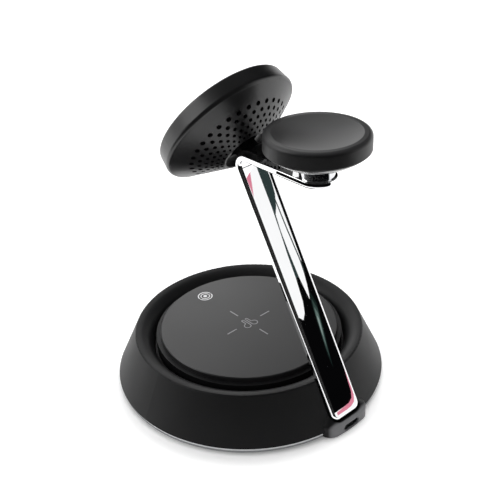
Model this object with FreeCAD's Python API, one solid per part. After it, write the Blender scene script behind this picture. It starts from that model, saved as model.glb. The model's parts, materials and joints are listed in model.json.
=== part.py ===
import FreeCAD, Part
import math
import os
from FreeCAD import Vector

# A charging stand for a phone, a watch and earbuds. Every length is in millimetres and every angle in
# degrees. The origin is on the table under the middle of the base, +Z is up, the phone faces -Y, and
# the arm, the watch rest and the power socket are at the rear, +Y.

# Base shell: a cone with a crisp upper edge, from which a rounded lip drops to the pad's seat
edge_radius = 60.0
edge_height = 3.0
rim_inset = 9.3
rim_height = 22.8
rim_edge = 0.45
lip_width = 8.2
lip_drop = 7.8
shell_wall = 2.4
seat_width = 6.0
seat_thickness = 2.0

# Closing plate, anti-slip mat and the light ring round the foot of the base
mat_inset = 4.95
mat_thickness = 1.2
mat_recess = 0.7
plate_thickness = 2.1
ring_width = 2.2
ring_inset = 0.7
ring_lift = 0.2
ring_flange_width = 2.4
ring_flange_thickness = 1.0
light_board_width = 2.8
light_board_thickness = 0.8
led_count = 28
led_length = 2.0
led_width = 1.4
led_height = 0.7

# Screws that close the base
base_screw_offset = 5.5
base_screw_count = 4
base_screw_first = 45.0
base_boss_radius = 3.0
base_screw_shank = 1.3
base_screw_length = 8.0
base_screw_head = 2.5
base_screw_head_height = 0.8

# Weight and electronics in the base
ballast_margin = 3.0
ballast_thickness = 3.2
ballast_hole = 6.0
board_width = 34.0
board_inset = 12.0
board_length = 14.0
board_tongue_width = 15.0
board_tongue_inset = 1.0
board_thickness = 1.0
board_lift = 0.6
board_post_radius = 2.2
board_post_x = 13.5
board_post_inset = 3.5
board_screw_shank = 0.8
board_screw_head = 1.7
board_screw_head_height = 0.9
board_screw_length = 2.6

# Rear lug with the power socket
lug_reach = 2.6
lug_half_width = 12.4
lug_bottom = 0.5
lug_top = 5.6
lug_ramp_top = 9.9
lug_corner = 5.4
lug_round = 1.8
usb_width = 8.94
usb_height = 3.26
usb_depth = 7.35
usb_wall = 0.3
usb_centre_height = 2.5
usb_recess = 0.6
usb_tongue_width = 6.7
usb_tongue_thickness = 0.7
usb_tongue_length = 4.6

# Earbud pad
pad_margin = 3.0
pad_proud = 0.1
pad_thickness = 2.3
pad_bevel = 0.35
pad_step = 2.1
tray_wall = 3.2
tray_floor = 1.2
pad_spigot = 0.7
pad_ferrite_radius = 25.0
pad_ferrite_thickness = 1.0
pad_coil_outer = 23.5
pad_coil_inner = 10.0
pad_coil_thickness = 1.8
touch_inset = 9.0
touch_radius = 5.0
touch_thickness = 0.2

# Arm: a flat bar that leans over the base and folds back under the watch
arm_width = 15.4
arm_thickness = 2.8
arm_rake = 3.03
arm_proud = 1.05
arm_foot_height = 6.2
arm_foot_bevel = 0.6
arm_foot_corner = 3.2
arm_foot_gap = 0.7
arm_bend_radius = 2.6
arm_face_round = 1.3
arm_hidden_round = 0.4
strip_height = 107.6
strip_length = 31.9
arm_channel_length = 31.4
arm_seat_length = 21.8
arm_seat_depth = 2.4
arm_screw_along = 6.8
arm_screw_x = 4.6
arm_screw_shank = 1.2
arm_screw_bite = 2.0
arm_screw_head = 2.2
arm_screw_head_height = 1.4

# Cable groove in the hidden face of the arm, with its covers
groove_width = 5.4
groove_depth = 1.7
cover_width = 7.4
cover_thickness = 0.8
cable_width = 4.8
cable_thickness = 0.6
cable_exit_along = 13.8
cable_bend_radius = 2.0
cable_drop_inset = 2.5
leg_cover_start = 17.8

# Watch rest
boss_radius = 6.8
boss_height = 3.5
taper_radius = 19.2
taper_height = 6.9
taper_mid_radius = 11.7
taper_mid_rise = 1.93
cap_radius = 20.0
cap_height = 6.7
cap_wall = 1.3
cap_round = 1.6
cap_foot_round = 0.5
dish_radius = 16.8
dish_depth = 1.7
cap_top_thickness = 1.2
cap_gap = 0.25
watch_spigot_height = 1.6
watch_spigot_wall = 1.2
watch_ledge = 1.1
watch_floor = 1.6
watch_board_thickness = 0.8
watch_ferrite_radius = 15.4
watch_ferrite_thickness = 0.7
watch_coil_outer = 14.8
watch_coil_inner = 7.0
watch_coil_thickness = 1.4
watch_magnet_radius = 5.5
watch_magnet_thickness = 1.8
watch_screw_shank = 1.3
watch_screw_head = 2.5
watch_screw_head_height = 1.0
watch_screw_bite = 2.6

# Phone head: a housing with a band and a vented cone, closed in front by a plate with a soft face
recline = 35.7
hinge_reach = 13.3
hinge_depth = 12.6
band_front_radius = 29.5
band_rear_radius = 30.2
band_depth = 7.3
band_front_round = 1.0
band_wall = 2.0
face_proud = 0.3
face_thickness = 1.5
face_border = 1.2
web_thickness = 1.0
ridge_round = 1.3
ridge_sink = 0.22
head_ledge = 1.2
cone_depth = 11.3
hub_radius = 10.9
hub_lip = 0.7
hub_sink = 2.5
hub_floor = 1.5
back_wall = 1.8

# Air vents drilled through the cone in staggered rings that shrink towards the hub
vent_rays = 30
vent_rings = 6
vent_first_radius = 22.1
vent_last_radius = 11.85
vent_first_diameter = 2.1
vent_sides = 12

# Charging stack and fan in the phone head
magnet_inner = 22.6
magnet_outer = 26.2
magnet_count = 16
magnet_gap_angle = 2.0
magnet_thickness = 1.6
head_coil_outer = 20.8
head_coil_inner = 9.5
head_ferrite_radius = 21.6
head_ferrite_thickness = 0.5
spreader_thickness = 0.8
fin_count = 11
fin_inner = 18.6
fin_outer = 24.6
fin_height = 1.5
fin_thickness = 0.8
fin_spread = 150.0
head_board_inner = 18.6
head_board_outer = 24.8
head_board_spread = 150.0
head_board_thickness = 0.8
head_board_lift = 1.2
head_post_radius = 1.2
head_post_angle = 55.0
fan_frame_outer = 17.6
fan_frame_wall = 1.3
fan_depth = 3.1
fan_spoke_width = 1.8
fan_spoke_thickness = 0.7
fan_spoke_count = 3
fan_boss_radius = 3.0
fan_tip_gap = 0.5
fan_hub_radius = 5.0
fan_hub_height = 1.8
fan_blade_count = 9
fan_blade_thickness = 0.5
fan_blade_chord = 2.4
fan_blade_pitch = 38.0
fan_shaft_radius = 0.75
fan_bearing_radius = 1.7

# Tilt hinge between the arm's bend and the hub
barrel_radius = 2.8
barrel_half_width = 4.3
neck_thickness = 4.4
saddle_half_width = 5.6
saddle_thickness = 1.4
saddle_length = 10.0
saddle_screw_x = 4.65
saddle_screw_along = 7.2
saddle_screw_shank = 0.6
saddle_screw_head = 1.1
saddle_screw_head_height = 0.5
saddle_screw_bite = 1.0
hinge_pin_radius = 1.5
washer_thickness = 0.5
washer_radius = 2.7
cheek_thickness = 2.0
pocket_half_height = 5.0
pocket_wall = 1.0
pocket_room = 0.4

# Clearances
joint_gap = 0.05
slip_gap = 0.1
sliding_gap = 0.15
running_gap = 0.03
rotor_gap = 0.3

# Levels and radii of the base that follow from the values above
rim_radius = edge_radius - rim_inset
well_radius = rim_radius - lip_width
lip_centre = rim_radius - rim_edge
seat_height = rim_height - lip_drop
seat_radius = well_radius - seat_width
cone_slope = (edge_radius - rim_radius) / (rim_height - edge_height)
wall_across = shell_wall * math.sqrt(1 + cone_slope ** 2)
plate_bottom = mat_thickness - mat_recess
plate_top = plate_bottom + plate_thickness
ring_outer = edge_radius - ring_inset
ring_inner = ring_outer - ring_width
plate_radius = ring_inner - sliding_gap
mat_radius = plate_radius - mat_inset
flange_inner = ring_inner - ring_flange_width
base_screw_radius = well_radius + base_screw_offset
board_rear = edge_radius - board_inset
board_front = board_rear - board_length
board_tongue_end = edge_radius - board_tongue_inset
ballast_radius = board_front - ballast_margin
cable_drop_y = board_rear - cable_drop_inset
light_board_outer = flange_inner - slip_gap
light_board_inner = light_board_outer - light_board_width
board_bottom = plate_top + board_lift
board_top = board_bottom + board_thickness
lug_radius = edge_radius + lug_reach
usb_front = lug_radius - usb_recess
usb_back = usb_front - usb_depth
pad_radius = well_radius - pad_margin
touch_y = touch_inset - pad_radius
pad_top = rim_height + pad_proud
tray_top = pad_top - pad_thickness
tray_radius = pad_radius + pad_step
tray_inner = tray_radius - tray_wall
spigot_bottom = tray_top - pad_spigot
coil_bottom = seat_height + tray_floor + pad_ferrite_thickness

# The arm in the YZ plane: rear face from foot to bend, then the underside of the strip
lean = math.atan(cone_slope) + math.radians(arm_rake)
leg_up = (-math.sin(lean), math.cos(lean))
leg_out = (math.cos(lean), math.sin(lean))
foot_y = rim_radius + arm_proud + (rim_height - arm_foot_height) * math.tan(lean)
foot = (foot_y, arm_foot_height)
knee = (foot_y - (strip_height - arm_foot_height) * math.tan(lean), strip_height)
leg_length = (strip_height - arm_foot_height) / math.cos(lean)
bend_turn = math.radians(90) + lean
bend_run = arm_bend_radius * math.tan(bend_turn / 2)
bend_centre = (knee[0] + bend_run, strip_height - arm_bend_radius)
watch_y = bend_centre[0] + strip_length
strip_top = strip_height + arm_thickness

# The hinge lies on the line that halves the bend, and the head hangs on the hinge
bisector = math.radians(90) + bend_turn / 2
hinge_y = bend_centre[0] + hinge_reach * math.cos(bisector)
hinge_z = bend_centre[1] + hinge_reach * math.sin(bisector)
tilt = math.radians(recline)
head_y = hinge_y - hinge_depth * math.cos(tilt)
head_z = hinge_z + hinge_depth * math.sin(tilt)

# Depths behind the front of the phone head
web_front = face_thickness - face_proud
web_back = web_front + web_thickness
ferrite_front = web_back + magnet_thickness
spreader_front = ferrite_front + head_ferrite_thickness
spreader_back = spreader_front + spreader_thickness
fan_back = spreader_back + fan_depth
hub_end = band_depth + cone_depth
hub_floor_back = hub_end - hub_sink
hub_floor_front = hub_floor_back - hub_floor
vent_slope = cone_depth / (band_rear_radius - hub_radius)
head_bore = band_rear_radius - band_wall
front_plate_radius = head_bore - slip_gap
back_wall_along = back_wall * math.sqrt(1 + vent_slope ** 2)
pocket_half_width = barrel_half_width + washer_thickness + 2 * joint_gap
pocket_front = hinge_depth - barrel_radius - pocket_room

# Levels of the watch rest
watch_joint = strip_top + boss_height + taper_height
cap_top = watch_joint + cap_height
cap_inner = cap_radius - cap_wall
watch_spigot = cap_inner - slip_gap
watch_bore = watch_spigot - watch_spigot_wall


def along_leg(distance, inward=0.0):
    """Point of the leg at a distance from its foot, and some way in from its rear face."""
    y = foot[0] + distance * leg_up[0] - inward * leg_out[0]
    z = foot[1] + distance * leg_up[1] - inward * leg_out[1]
    return (y, z)


def face_of(place, start, *steps):
    """Plane face inside an outline. A step is the next point, or a pair: middle and end of an arc."""
    edges = []
    here = start
    for step in steps:
        if isinstance(step[0], tuple):
            middle, there = step
            edges.append(Part.Arc(place(*here), place(*middle), place(*there)).toShape())
        else:
            there = step
            edges.append(Part.LineSegment(place(*here), place(*there)).toShape())
        here = there
    if here != start:
        edges.append(Part.LineSegment(place(*here), place(*start)).toShape())
    return Part.Face(Part.Wire(edges))


def lathe(start, *steps):
    """Solid of revolution about Z, from an outline of (radius, height)."""
    face = face_of(lambda radius, height: Vector(radius, 0, height), start, *steps)
    return face.revolve(Vector(0, 0, 0), Vector(0, 0, 1), 360)


def side_slab(half_width, start, *steps):
    """Outline of (y, z) made as wide as twice the half width, across the plane of symmetry."""
    face = face_of(lambda y, z: Vector(-half_width, y, z), start, *steps)
    return face.extrude(Vector(2 * half_width, 0, 0))


def disc(radius, low, high, x=0.0, y=0.0):
    return Part.makeCylinder(radius, high - low, Vector(x, y, low))


def tube(outer, inner, low, high):
    return disc(outer, low, high).cut(disc(inner, low - 1, high + 1))


def block(x_low, x_high, y_low, y_high, z_low, z_high):
    size = (x_high - x_low, y_high - y_low, z_high - z_low)
    return Part.makeBox(*size, Vector(x_low, y_low, z_low))


def rod(radius, start, direction, length):
    return Part.makeCylinder(radius, length, start, direction)


def ring_of(make, count, first=0.0):
    """Copies of one solid, evenly spaced about Z."""
    copies = []
    for index in range(count):
        copy = make.copy()
        copy.rotate(Vector(0, 0, 0), Vector(0, 0, 1), first + index * 360.0 / count)
        copies.append(copy)
    return copies


def pan_screw(head_radius, head_height, shank_radius, shank_length):
    """Screw along +Z whose head's underside is at the origin."""
    head = disc(head_radius, -head_height, 0)
    return head.fuse(disc(shank_radius, 0, shank_length))


def aimed(shape, place, direction):
    """Turns a shape made along +Z to a direction in the YZ plane, and moves it to a place."""
    turned = shape.copy()
    angle = math.degrees(math.atan2(-direction[0], direction[1]))
    turned.rotate(Vector(0, 0, 0), Vector(1, 0, 0), angle)
    turned.translate(place)
    return turned


def route_side(points, radius, shift):
    """A route of straight runs and round corners, moved to its left: start, corners and end."""
    runs = []
    for a, b in zip(points, points[1:]):
        length = math.hypot(b[0] - a[0], b[1] - a[1])
        runs.append(((b[0] - a[0]) / length, (b[1] - a[1]) / length))
    left = [(-run[1], run[0]) for run in runs]
    start = (points[0][0] + shift * left[0][0], points[0][1] + shift * left[0][1])
    end = (points[-1][0] + shift * left[-1][0], points[-1][1] + shift * left[-1][1])
    corners = []
    for index in range(1, len(runs)):
        before, after = runs[index - 1], runs[index]
        turn = math.atan2(before[0] * after[1] - before[1] * after[0],
                          before[0] * after[0] + before[1] * after[1])
        reach = math.tan(abs(turn) / 2)
        sign = math.copysign(1.0, turn)
        corner = points[index]
        centre = (corner[0] - before[0] * radius * reach + left[index - 1][0] * sign * radius,
                  corner[1] - before[1] * radius * reach + left[index - 1][1] * sign * radius)
        size = radius - sign * shift
        entry = (centre[0] - sign * size * left[index - 1][0], centre[1] - sign * size * left[index - 1][1])
        leave = (centre[0] - sign * size * left[index][0], centre[1] - sign * size * left[index][1])
        out = (entry[0] + leave[0] - 2 * centre[0], entry[1] + leave[1] - 2 * centre[1])
        scale = size / math.hypot(*out)
        middle = (centre[0] + out[0] * scale, centre[1] + out[1] * scale)
        corners.append((entry, middle, leave))
    return start, corners, end


def bent_strip(points, radius, low, high, half_width):
    """Flat bar along a route, between two distances to its left."""
    start, corners, end = route_side(points, radius, low)
    steps = []
    for entry, middle, leave in corners:
        steps += [entry, (middle, leave)]
    steps.append(end)
    far_start, far_corners, far_end = route_side(points, radius, high)
    steps.append(far_end)
    for entry, middle, leave in reversed(far_corners):
        steps += [leave, (middle, entry)]
    steps.append(far_start)
    return side_slab(half_width, start, *steps)


def cone_radius(height):
    return edge_radius - cone_slope * (height - edge_height)


def wall_inside(height):
    return cone_radius(height) - wall_across


def lip_arc(width, drop):
    """Middle and end of the lip's round, from its foot at the seat to its crest."""
    middle = (lip_centre - width * math.cos(math.pi / 4), seat_height + drop * math.sin(math.pi / 4))
    return (middle, (lip_centre, seat_height + drop))


def base_cone():
    """The base's outer form, solid, with the lip's well sunk into it."""
    crest = rim_height - rim_edge
    turn = rim_edge * (1 - math.sin(math.pi / 4))
    return lathe((0, edge_height), (edge_radius, edge_height), (cone_radius(crest), crest),
                 ((rim_radius - turn / 2, rim_height - turn), (lip_centre, rim_height)),
                 (0, rim_height)).cut(well())


def well():
    above = rim_height + pad_thickness
    return lathe((0, seat_height), (well_radius, seat_height), lip_arc(lip_centre - well_radius, lip_drop),
                 (lip_centre, above), (0, above))


def base_cavity():
    """The room inside the base shell, under the well and its wall."""
    top = rim_height + shell_wall
    room = lathe((0, plate_bottom), (wall_inside(plate_bottom), plate_bottom),
                 (wall_inside(rim_height), rim_height), (0, rim_height))
    outer = lug_radius
    kept = lathe((0, seat_height - seat_thickness), (well_radius + shell_wall, seat_height - seat_thickness),
                 (well_radius + shell_wall, seat_height),
                 lip_arc(lip_centre - well_radius - shell_wall, lip_drop - shell_wall),
                 (outer, seat_height + lip_drop - shell_wall), (outer, top), (0, top))
    return room.cut(kept)


def lug_outline(reach):
    """Half section of the lug: upright face, round brow, and a ramp over a reach inwards."""
    ramp_slope = (lug_radius - cone_radius(lug_ramp_top)) / (lug_ramp_top - lug_top)
    turn = math.atan(ramp_slope)
    run = lug_round * math.tan(turn / 2)
    brow_middle = (reach - lug_round * (1 - math.cos(turn / 2)),
                   lug_top - run + lug_round * math.sin(turn / 2))
    brow_end = (reach - run * math.sin(turn), lug_top + run * math.cos(turn))
    return [(0, lug_bottom), (reach, lug_bottom), (reach, lug_top - run), (brow_middle, brow_end),
            (0, lug_top + reach / ramp_slope)]


def rear_lug():
    """A ramp that leaves the cone and ends in an upright face, with ends as round as half a disc."""
    half_angle = math.asin((lug_half_width - lug_corner) / (lug_radius - lug_corner))
    inner = wall_inside(lug_ramp_top)
    place = lambda out, height: Vector(inner + out, 0, height)
    middle = face_of(place, *lug_outline(lug_radius - inner))
    lug = middle.revolve(Vector(0, 0, 0), Vector(0, 0, 1), 2 * math.degrees(half_angle))
    lug.rotate(Vector(0, 0, 0), Vector(0, 0, 1), 90 - math.degrees(half_angle))
    end = face_of(lambda out, height: Vector(out, 0, height), *lug_outline(lug_corner))
    for side in (-1, 1):
        angle = math.pi / 2 + side * half_angle
        cap = end.revolve(Vector(0, 0, 0), Vector(0, 0, 1), 180 * side)
        cap.rotate(Vector(0, 0, 0), Vector(0, 0, 1), math.degrees(angle))
        cap.translate(Vector(math.cos(angle), math.sin(angle), 0) * (lug_radius - lug_corner))
        lug = lug.fuse(cap)
    return lug.cut(disc(ring_inner, 0, edge_height))


def arm_envelope(gap):
    """The lower leg of the arm with a gap all round, for the channel in the base."""
    half = arm_width / 2 + gap
    low = along_leg(-gap, -arm_thickness)
    high = along_leg(arm_channel_length, -arm_thickness)
    high_in = along_leg(arm_channel_length, arm_thickness)
    low_in = along_leg(-gap, arm_thickness)
    leg = side_slab(half, low, high, high_in, low_in)
    ends = [edge for edge in leg.Edges if runs_along_leg_out(edge) and edge.CenterOfMass.z < foot[1] + 1]
    return leg.makeFillet(arm_foot_corner + gap, ends).cut(under_foot(gap))


def under_foot(gap):
    """Everything below the bevel that takes the hidden corner off the arm's foot."""
    top = foot[1] - arm_foot_bevel - gap
    return block(-arm_width, arm_width, 0, 2 * edge_radius, -edge_height, top)


def runs_along_leg_out(edge):
    if len(edge.Vertexes) != 2:
        return False
    way = edge.Vertexes[1].Point.sub(edge.Vertexes[0].Point)
    return abs(abs(way.dot(Vector(0, *leg_out))) - way.Length) < 0.001


def arm_seat():
    """Thick place inside the rear wall, on which the foot of the arm is screwed."""
    half = arm_width / 2 + shell_wall
    inward = arm_thickness + arm_seat_depth
    slab = side_slab(half, along_leg(-shell_wall, 0), along_leg(arm_seat_length, 0),
                     along_leg(arm_seat_length, inward), along_leg(-shell_wall, inward))
    return slab.common(base_cone())


def arm_screw_places():
    places = []
    y, z = along_leg(arm_screw_along, arm_thickness + arm_seat_depth)
    for x in (-arm_screw_x, arm_screw_x):
        places.append(Vector(x, y, z))
    return places


def cable_slot(gap):
    """Room through the rear wall for the cable, from the arm's groove to the inside."""
    half = cable_width / 2 + gap
    length = cable_thickness / 2 + gap
    reach = arm_thickness + arm_seat_depth + shell_wall
    start = arm_thickness - groove_depth
    return side_slab(half, along_leg(cable_exit_along - length, start),
                     along_leg(cable_exit_along + length, start),
                     along_leg(cable_exit_along + length, reach),
                     along_leg(cable_exit_along - length, reach))


def base_boss_places():
    places = []
    for index in range(base_screw_count):
        angle = math.radians(base_screw_first + index * 360.0 / base_screw_count)
        places.append((base_screw_radius * math.cos(angle), base_screw_radius * math.sin(angle)))
    return places


def usb_opening(gap, y_low, y_high):
    """Long round-ended prism through the lug, as large as the socket with a gap."""
    radius = usb_height / 2 + gap
    centre = usb_width / 2 - usb_height / 2
    z = usb_centre_height
    place = lambda x, height: Vector(x, y_low, height)
    face = face_of(place, (-centre, z - radius), (centre, z - radius),
                   ((centre + radius, z), (centre, z + radius)), (-centre, z + radius),
                   ((-centre - radius, z), (-centre, z - radius)))
    return face.extrude(Vector(0, y_high - y_low, 0))


def base_shell():
    shell = base_cone().fuse(rear_lug()).cut(base_cavity())
    shell = shell.cut(disc(seat_radius, 0, rim_height))
    shell = shell.fuse(arm_seat())
    for x, y in base_boss_places():
        boss = disc(base_boss_radius, plate_top, rim_height - rim_edge, x, y).common(base_cone())
        shell = shell.fuse(boss)
    for x, y in base_boss_places():
        shell = shell.cut(disc(base_screw_shank, plate_top - 1, plate_top + base_screw_length, x, y))
    shell = shell.cut(arm_envelope(arm_foot_gap))
    tongue = board_tongue_width / 2 + 2 * sliding_gap
    pocket = block(-tongue, tongue, board_rear, board_tongue_end + 2 * sliding_gap,
                   plate_top, board_top + 2 * sliding_gap)
    shell = shell.cut(pocket).cut(usb_opening(joint_gap, usb_back - 1, lug_radius + 1))
    shell = shell.cut(cable_slot(sliding_gap))
    for place in arm_screw_places():
        inside = place.sub(Vector(0, *leg_out))
        shell = shell.cut(rod(arm_screw_shank + joint_gap, inside, Vector(0, *leg_out), arm_seat_depth + 2))
    return shell.removeSplitter()


def bottom_plate():
    plate = disc(plate_radius, plate_bottom, plate_top)
    plate = plate.cut(disc(mat_radius + sliding_gap, plate_bottom - 1, plate_bottom + mat_recess))
    for x, y in board_post_places():
        plate = plate.fuse(disc(board_post_radius, plate_top, board_bottom, x, y))
    for x, y in base_boss_places():
        plate = plate.cut(disc(base_screw_shank + sliding_gap, 0, plate_top + 1, x, y))
        sink = plate_bottom + mat_recess + base_screw_head_height
        plate = plate.cut(disc(base_screw_head + sliding_gap, 0, sink, x, y))
    for x, y in board_post_places():
        plate = plate.cut(disc(board_screw_shank, board_top - board_screw_length, board_top, x, y))
    half = usb_width / 2 + sliding_gap
    sink = usb_centre_height - usb_height / 2 - sliding_gap
    return plate.cut(block(-half, half, usb_back - sliding_gap, edge_radius, sink, plate_top + 1))


def rubber_mat():
    return disc(mat_radius, 0, mat_thickness)


def base_screws():
    screws = []
    head_top = plate_bottom + mat_recess + base_screw_head_height
    for x, y in base_boss_places():
        screw = pan_screw(base_screw_head, base_screw_head_height, base_screw_shank,
                          base_screw_length - plate_thickness)
        screw.translate(Vector(x, y, head_top))
        screws.append(screw)
    return Part.makeCompound(screws)


def lug_gap():
    """Room for the lug where the light ring and its board stop on either side of it."""
    half = lug_half_width + sliding_gap
    return block(-half, half, 0, lug_radius, 0, rim_height)


def light_ring():
    low = plate_bottom + ring_lift
    ring = tube(ring_outer, ring_inner, low, edge_height)
    flange_top = plate_top + ring_flange_thickness
    flange = tube(wall_inside(flange_top) - sliding_gap, flange_inner, plate_top, flange_top)
    bridge = tube(ring_inner + sliding_gap, flange_inner + slip_gap, plate_top, edge_height)
    return ring.fuse([flange, bridge]).cut(lug_gap()).removeSplitter()


def light_board():
    board = tube(light_board_outer, light_board_inner, plate_top, plate_top + light_board_thickness)
    return board.cut(lug_gap())


def leds():
    low = plate_top + light_board_thickness
    middle = (light_board_inner + light_board_outer) / 2
    led = block(middle - led_width / 2, middle + led_width / 2, -led_length / 2, led_length / 2,
                low, low + led_height)
    chips = []
    for chip in ring_of(led, led_count, 180.0 / led_count):
        if chip.CenterOfMass.y < 0 or abs(chip.CenterOfMass.x) > lug_half_width + led_length:
            chips.append(chip)
    return Part.makeCompound(chips)


def ballast_plate():
    return tube(ballast_radius, ballast_hole, plate_top, plate_top + ballast_thickness)


def board_post_places():
    rows = (board_front + board_post_inset, board_rear - board_post_inset)
    return [(x, y) for y in rows for x in (-board_post_x, board_post_x)]


def main_board():
    half = board_width / 2
    tongue = board_tongue_width / 2
    board = block(-half, half, board_front, board_rear, board_bottom, board_top)
    board = board.fuse(block(-tongue, tongue, board_rear - 1, board_tongue_end, board_bottom, board_top))
    for x, y in board_post_places():
        board = board.cut(disc(board_screw_shank + joint_gap, board_bottom - 1, board_top + 1, x, y))
    board = board.cut(usb_opening(joint_gap, usb_back - sliding_gap, lug_radius))
    return board.removeSplitter()


def board_screws():
    screws = []
    for x, y in board_post_places():
        screw = pan_screw(board_screw_head, board_screw_head_height, board_screw_shank, board_screw_length)
        screw.rotate(Vector(0, 0, 0), Vector(1, 0, 0), 180)
        screw.translate(Vector(x, y, board_top))
        screws.append(screw)
    return Part.makeCompound(screws)


def usb_socket():
    outer = usb_opening(0, usb_back, usb_front)
    return outer.cut(usb_opening(-usb_wall, usb_back + usb_wall, usb_front + 1))


def usb_tongue():
    low = usb_centre_height - usb_tongue_thickness / 2
    return block(-usb_tongue_width / 2, usb_tongue_width / 2, usb_back + usb_wall,
                 usb_back + usb_wall + usb_tongue_length, low, low + usb_tongue_thickness)


def pad_tray():
    return lathe((0, seat_height), (tray_radius, seat_height), (tray_radius, tray_top),
                 (tray_inner, tray_top), (tray_inner, seat_height + tray_floor),
                 (0, seat_height + tray_floor))


def pad_cover():
    spigot = tray_inner - slip_gap
    rim = pad_top - pad_bevel
    return lathe((0, spigot_bottom), (spigot, spigot_bottom), (spigot, tray_top), (pad_radius, tray_top),
                 (pad_radius, rim), (pad_radius - pad_bevel, pad_top), (0, pad_top))


def pad_ferrite():
    low = seat_height + tray_floor
    return disc(pad_ferrite_radius, low, low + pad_ferrite_thickness)


def pad_coil():
    return tube(pad_coil_outer, pad_coil_inner, coil_bottom, coil_bottom + pad_coil_thickness)


def touch_electrode():
    return disc(touch_radius, spigot_bottom - touch_thickness, spigot_bottom, 0, touch_y)


def arm_route(start_along=0.0, end_y=None):
    end = watch_y + arm_width / 2 if end_y is None else end_y
    return [along_leg(start_along), knee, (end, strip_height)]


def arm_bar():
    half = arm_width / 2
    bar = bent_strip(arm_route(), arm_bend_radius, 0, arm_thickness, half)
    square = block(-half - 1, half + 1, watch_y, watch_y + arm_width, strip_height - 1, strip_top + 1)
    bar = bar.cut(square.cut(disc(half, strip_height - 2, strip_top + 2, 0, watch_y)))
    ends = [edge for edge in bar.Edges if runs_along_leg_out(edge) and edge.CenterOfMass.z < foot[1] + 1]
    bar = bar.makeFillet(arm_foot_corner, ends)
    bar = bar.makeFillet(arm_face_round, rim_edges(bar, True))
    bar = bar.makeFillet(arm_hidden_round, rim_edges(bar, False)).cut(under_foot(0))
    groove = bent_strip(arm_route(cable_exit_along - groove_depth, watch_y - boss_radius / 2),
                        arm_bend_radius, arm_thickness - groove_depth, arm_thickness + 1, groove_width / 2)
    rebate = bent_strip(arm_route(cable_exit_along - groove_depth, watch_y - boss_radius / 2),
                        arm_bend_radius, arm_thickness - cover_thickness, arm_thickness + 1,
                        cover_width / 2 + slip_gap)
    bar = bar.cut(groove).cut(rebate)
    for place in arm_screw_places():
        bar = bar.cut(rod(arm_screw_shank, place, Vector(0, *leg_out), arm_seat_depth + arm_screw_bite))
    for screw in saddle_screw_list():
        bar = bar.cut(screw)
    bar = bar.cut(disc(watch_screw_shank + joint_gap, strip_height - 1, strip_top + 1, 0, watch_y))
    return bar.cut(disc(watch_screw_head + joint_gap, strip_height - 1,
                        strip_height + watch_screw_head_height, 0, watch_y))


def arm_offset(point):
    """How far a point lies in from the arm's polished face."""
    from_leg = (foot[0] - point.y) * leg_out[0] + (foot[1] - point.z) * leg_out[1]
    return max(from_leg, point.z - strip_height)


def rim_edges(bar, polished):
    """Edges round the polished face of the arm, or round its hidden face."""
    edges = []
    for edge in bar.Edges:
        ends = [arm_offset(vertex.Point) for vertex in edge.Vertexes]
        if polished and max(ends) < 0.01:
            edges.append(edge)
        if not polished and min(ends) > arm_thickness - 0.01:
            edges.append(edge)
    return edges


def leg_cover():
    route = [along_leg(leg_cover_start), along_leg(leg_length - saddle_length - sliding_gap)]
    return bent_strip(route, arm_bend_radius, arm_thickness - cover_thickness, arm_thickness, cover_width / 2)


def strip_cover():
    route = [(knee[0] + saddle_length + sliding_gap, strip_height),
             (watch_y - boss_radius - sliding_gap, strip_height)]
    return bent_strip(route, arm_bend_radius, arm_thickness - cover_thickness, arm_thickness, cover_width / 2)


def arm_cable():
    """Flat cable: down the groove, then through the rear wall to the board."""
    floor = arm_thickness - groove_depth
    route = arm_route(cable_exit_along, watch_y - boss_radius)
    main = bent_strip(route, arm_bend_radius, floor, floor + cable_thickness, cable_width / 2)
    turn = along_leg(cable_exit_along, floor)
    inside_run = arm_thickness + arm_seat_depth + shell_wall
    inside = along_leg(cable_exit_along, inside_run)
    tail_route = [turn, inside, (cable_drop_y, inside[1] - cable_bend_radius * 2), (cable_drop_y, board_top)]
    tail = bent_strip(tail_route, cable_bend_radius, -cable_thickness / 2, cable_thickness / 2,
                      cable_width / 2)
    return main.fuse(tail).removeSplitter()


def arm_screws():
    screws = []
    for place in arm_screw_places():
        screw = pan_screw(arm_screw_head, arm_screw_head_height, arm_screw_shank,
                          arm_seat_depth + arm_screw_bite)
        screws.append(aimed(screw, place, leg_out))
    return Part.makeCompound(screws)


def saddle_screw_list():
    screws = []
    top = arm_thickness + saddle_thickness
    reach = saddle_thickness + saddle_screw_bite
    for x in (-saddle_screw_x, saddle_screw_x):
        for place, way in ((along_leg(leg_length - saddle_screw_along, top), leg_out),
                           ((knee[0] + saddle_screw_along, strip_height + top), (0, -1))):
            screw = pan_screw(saddle_screw_head, saddle_screw_head_height, saddle_screw_shank, reach)
            screws.append(aimed(screw, Vector(x, *place), way))
    return screws


def saddle_screws():
    return Part.makeCompound(saddle_screw_list())


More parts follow.
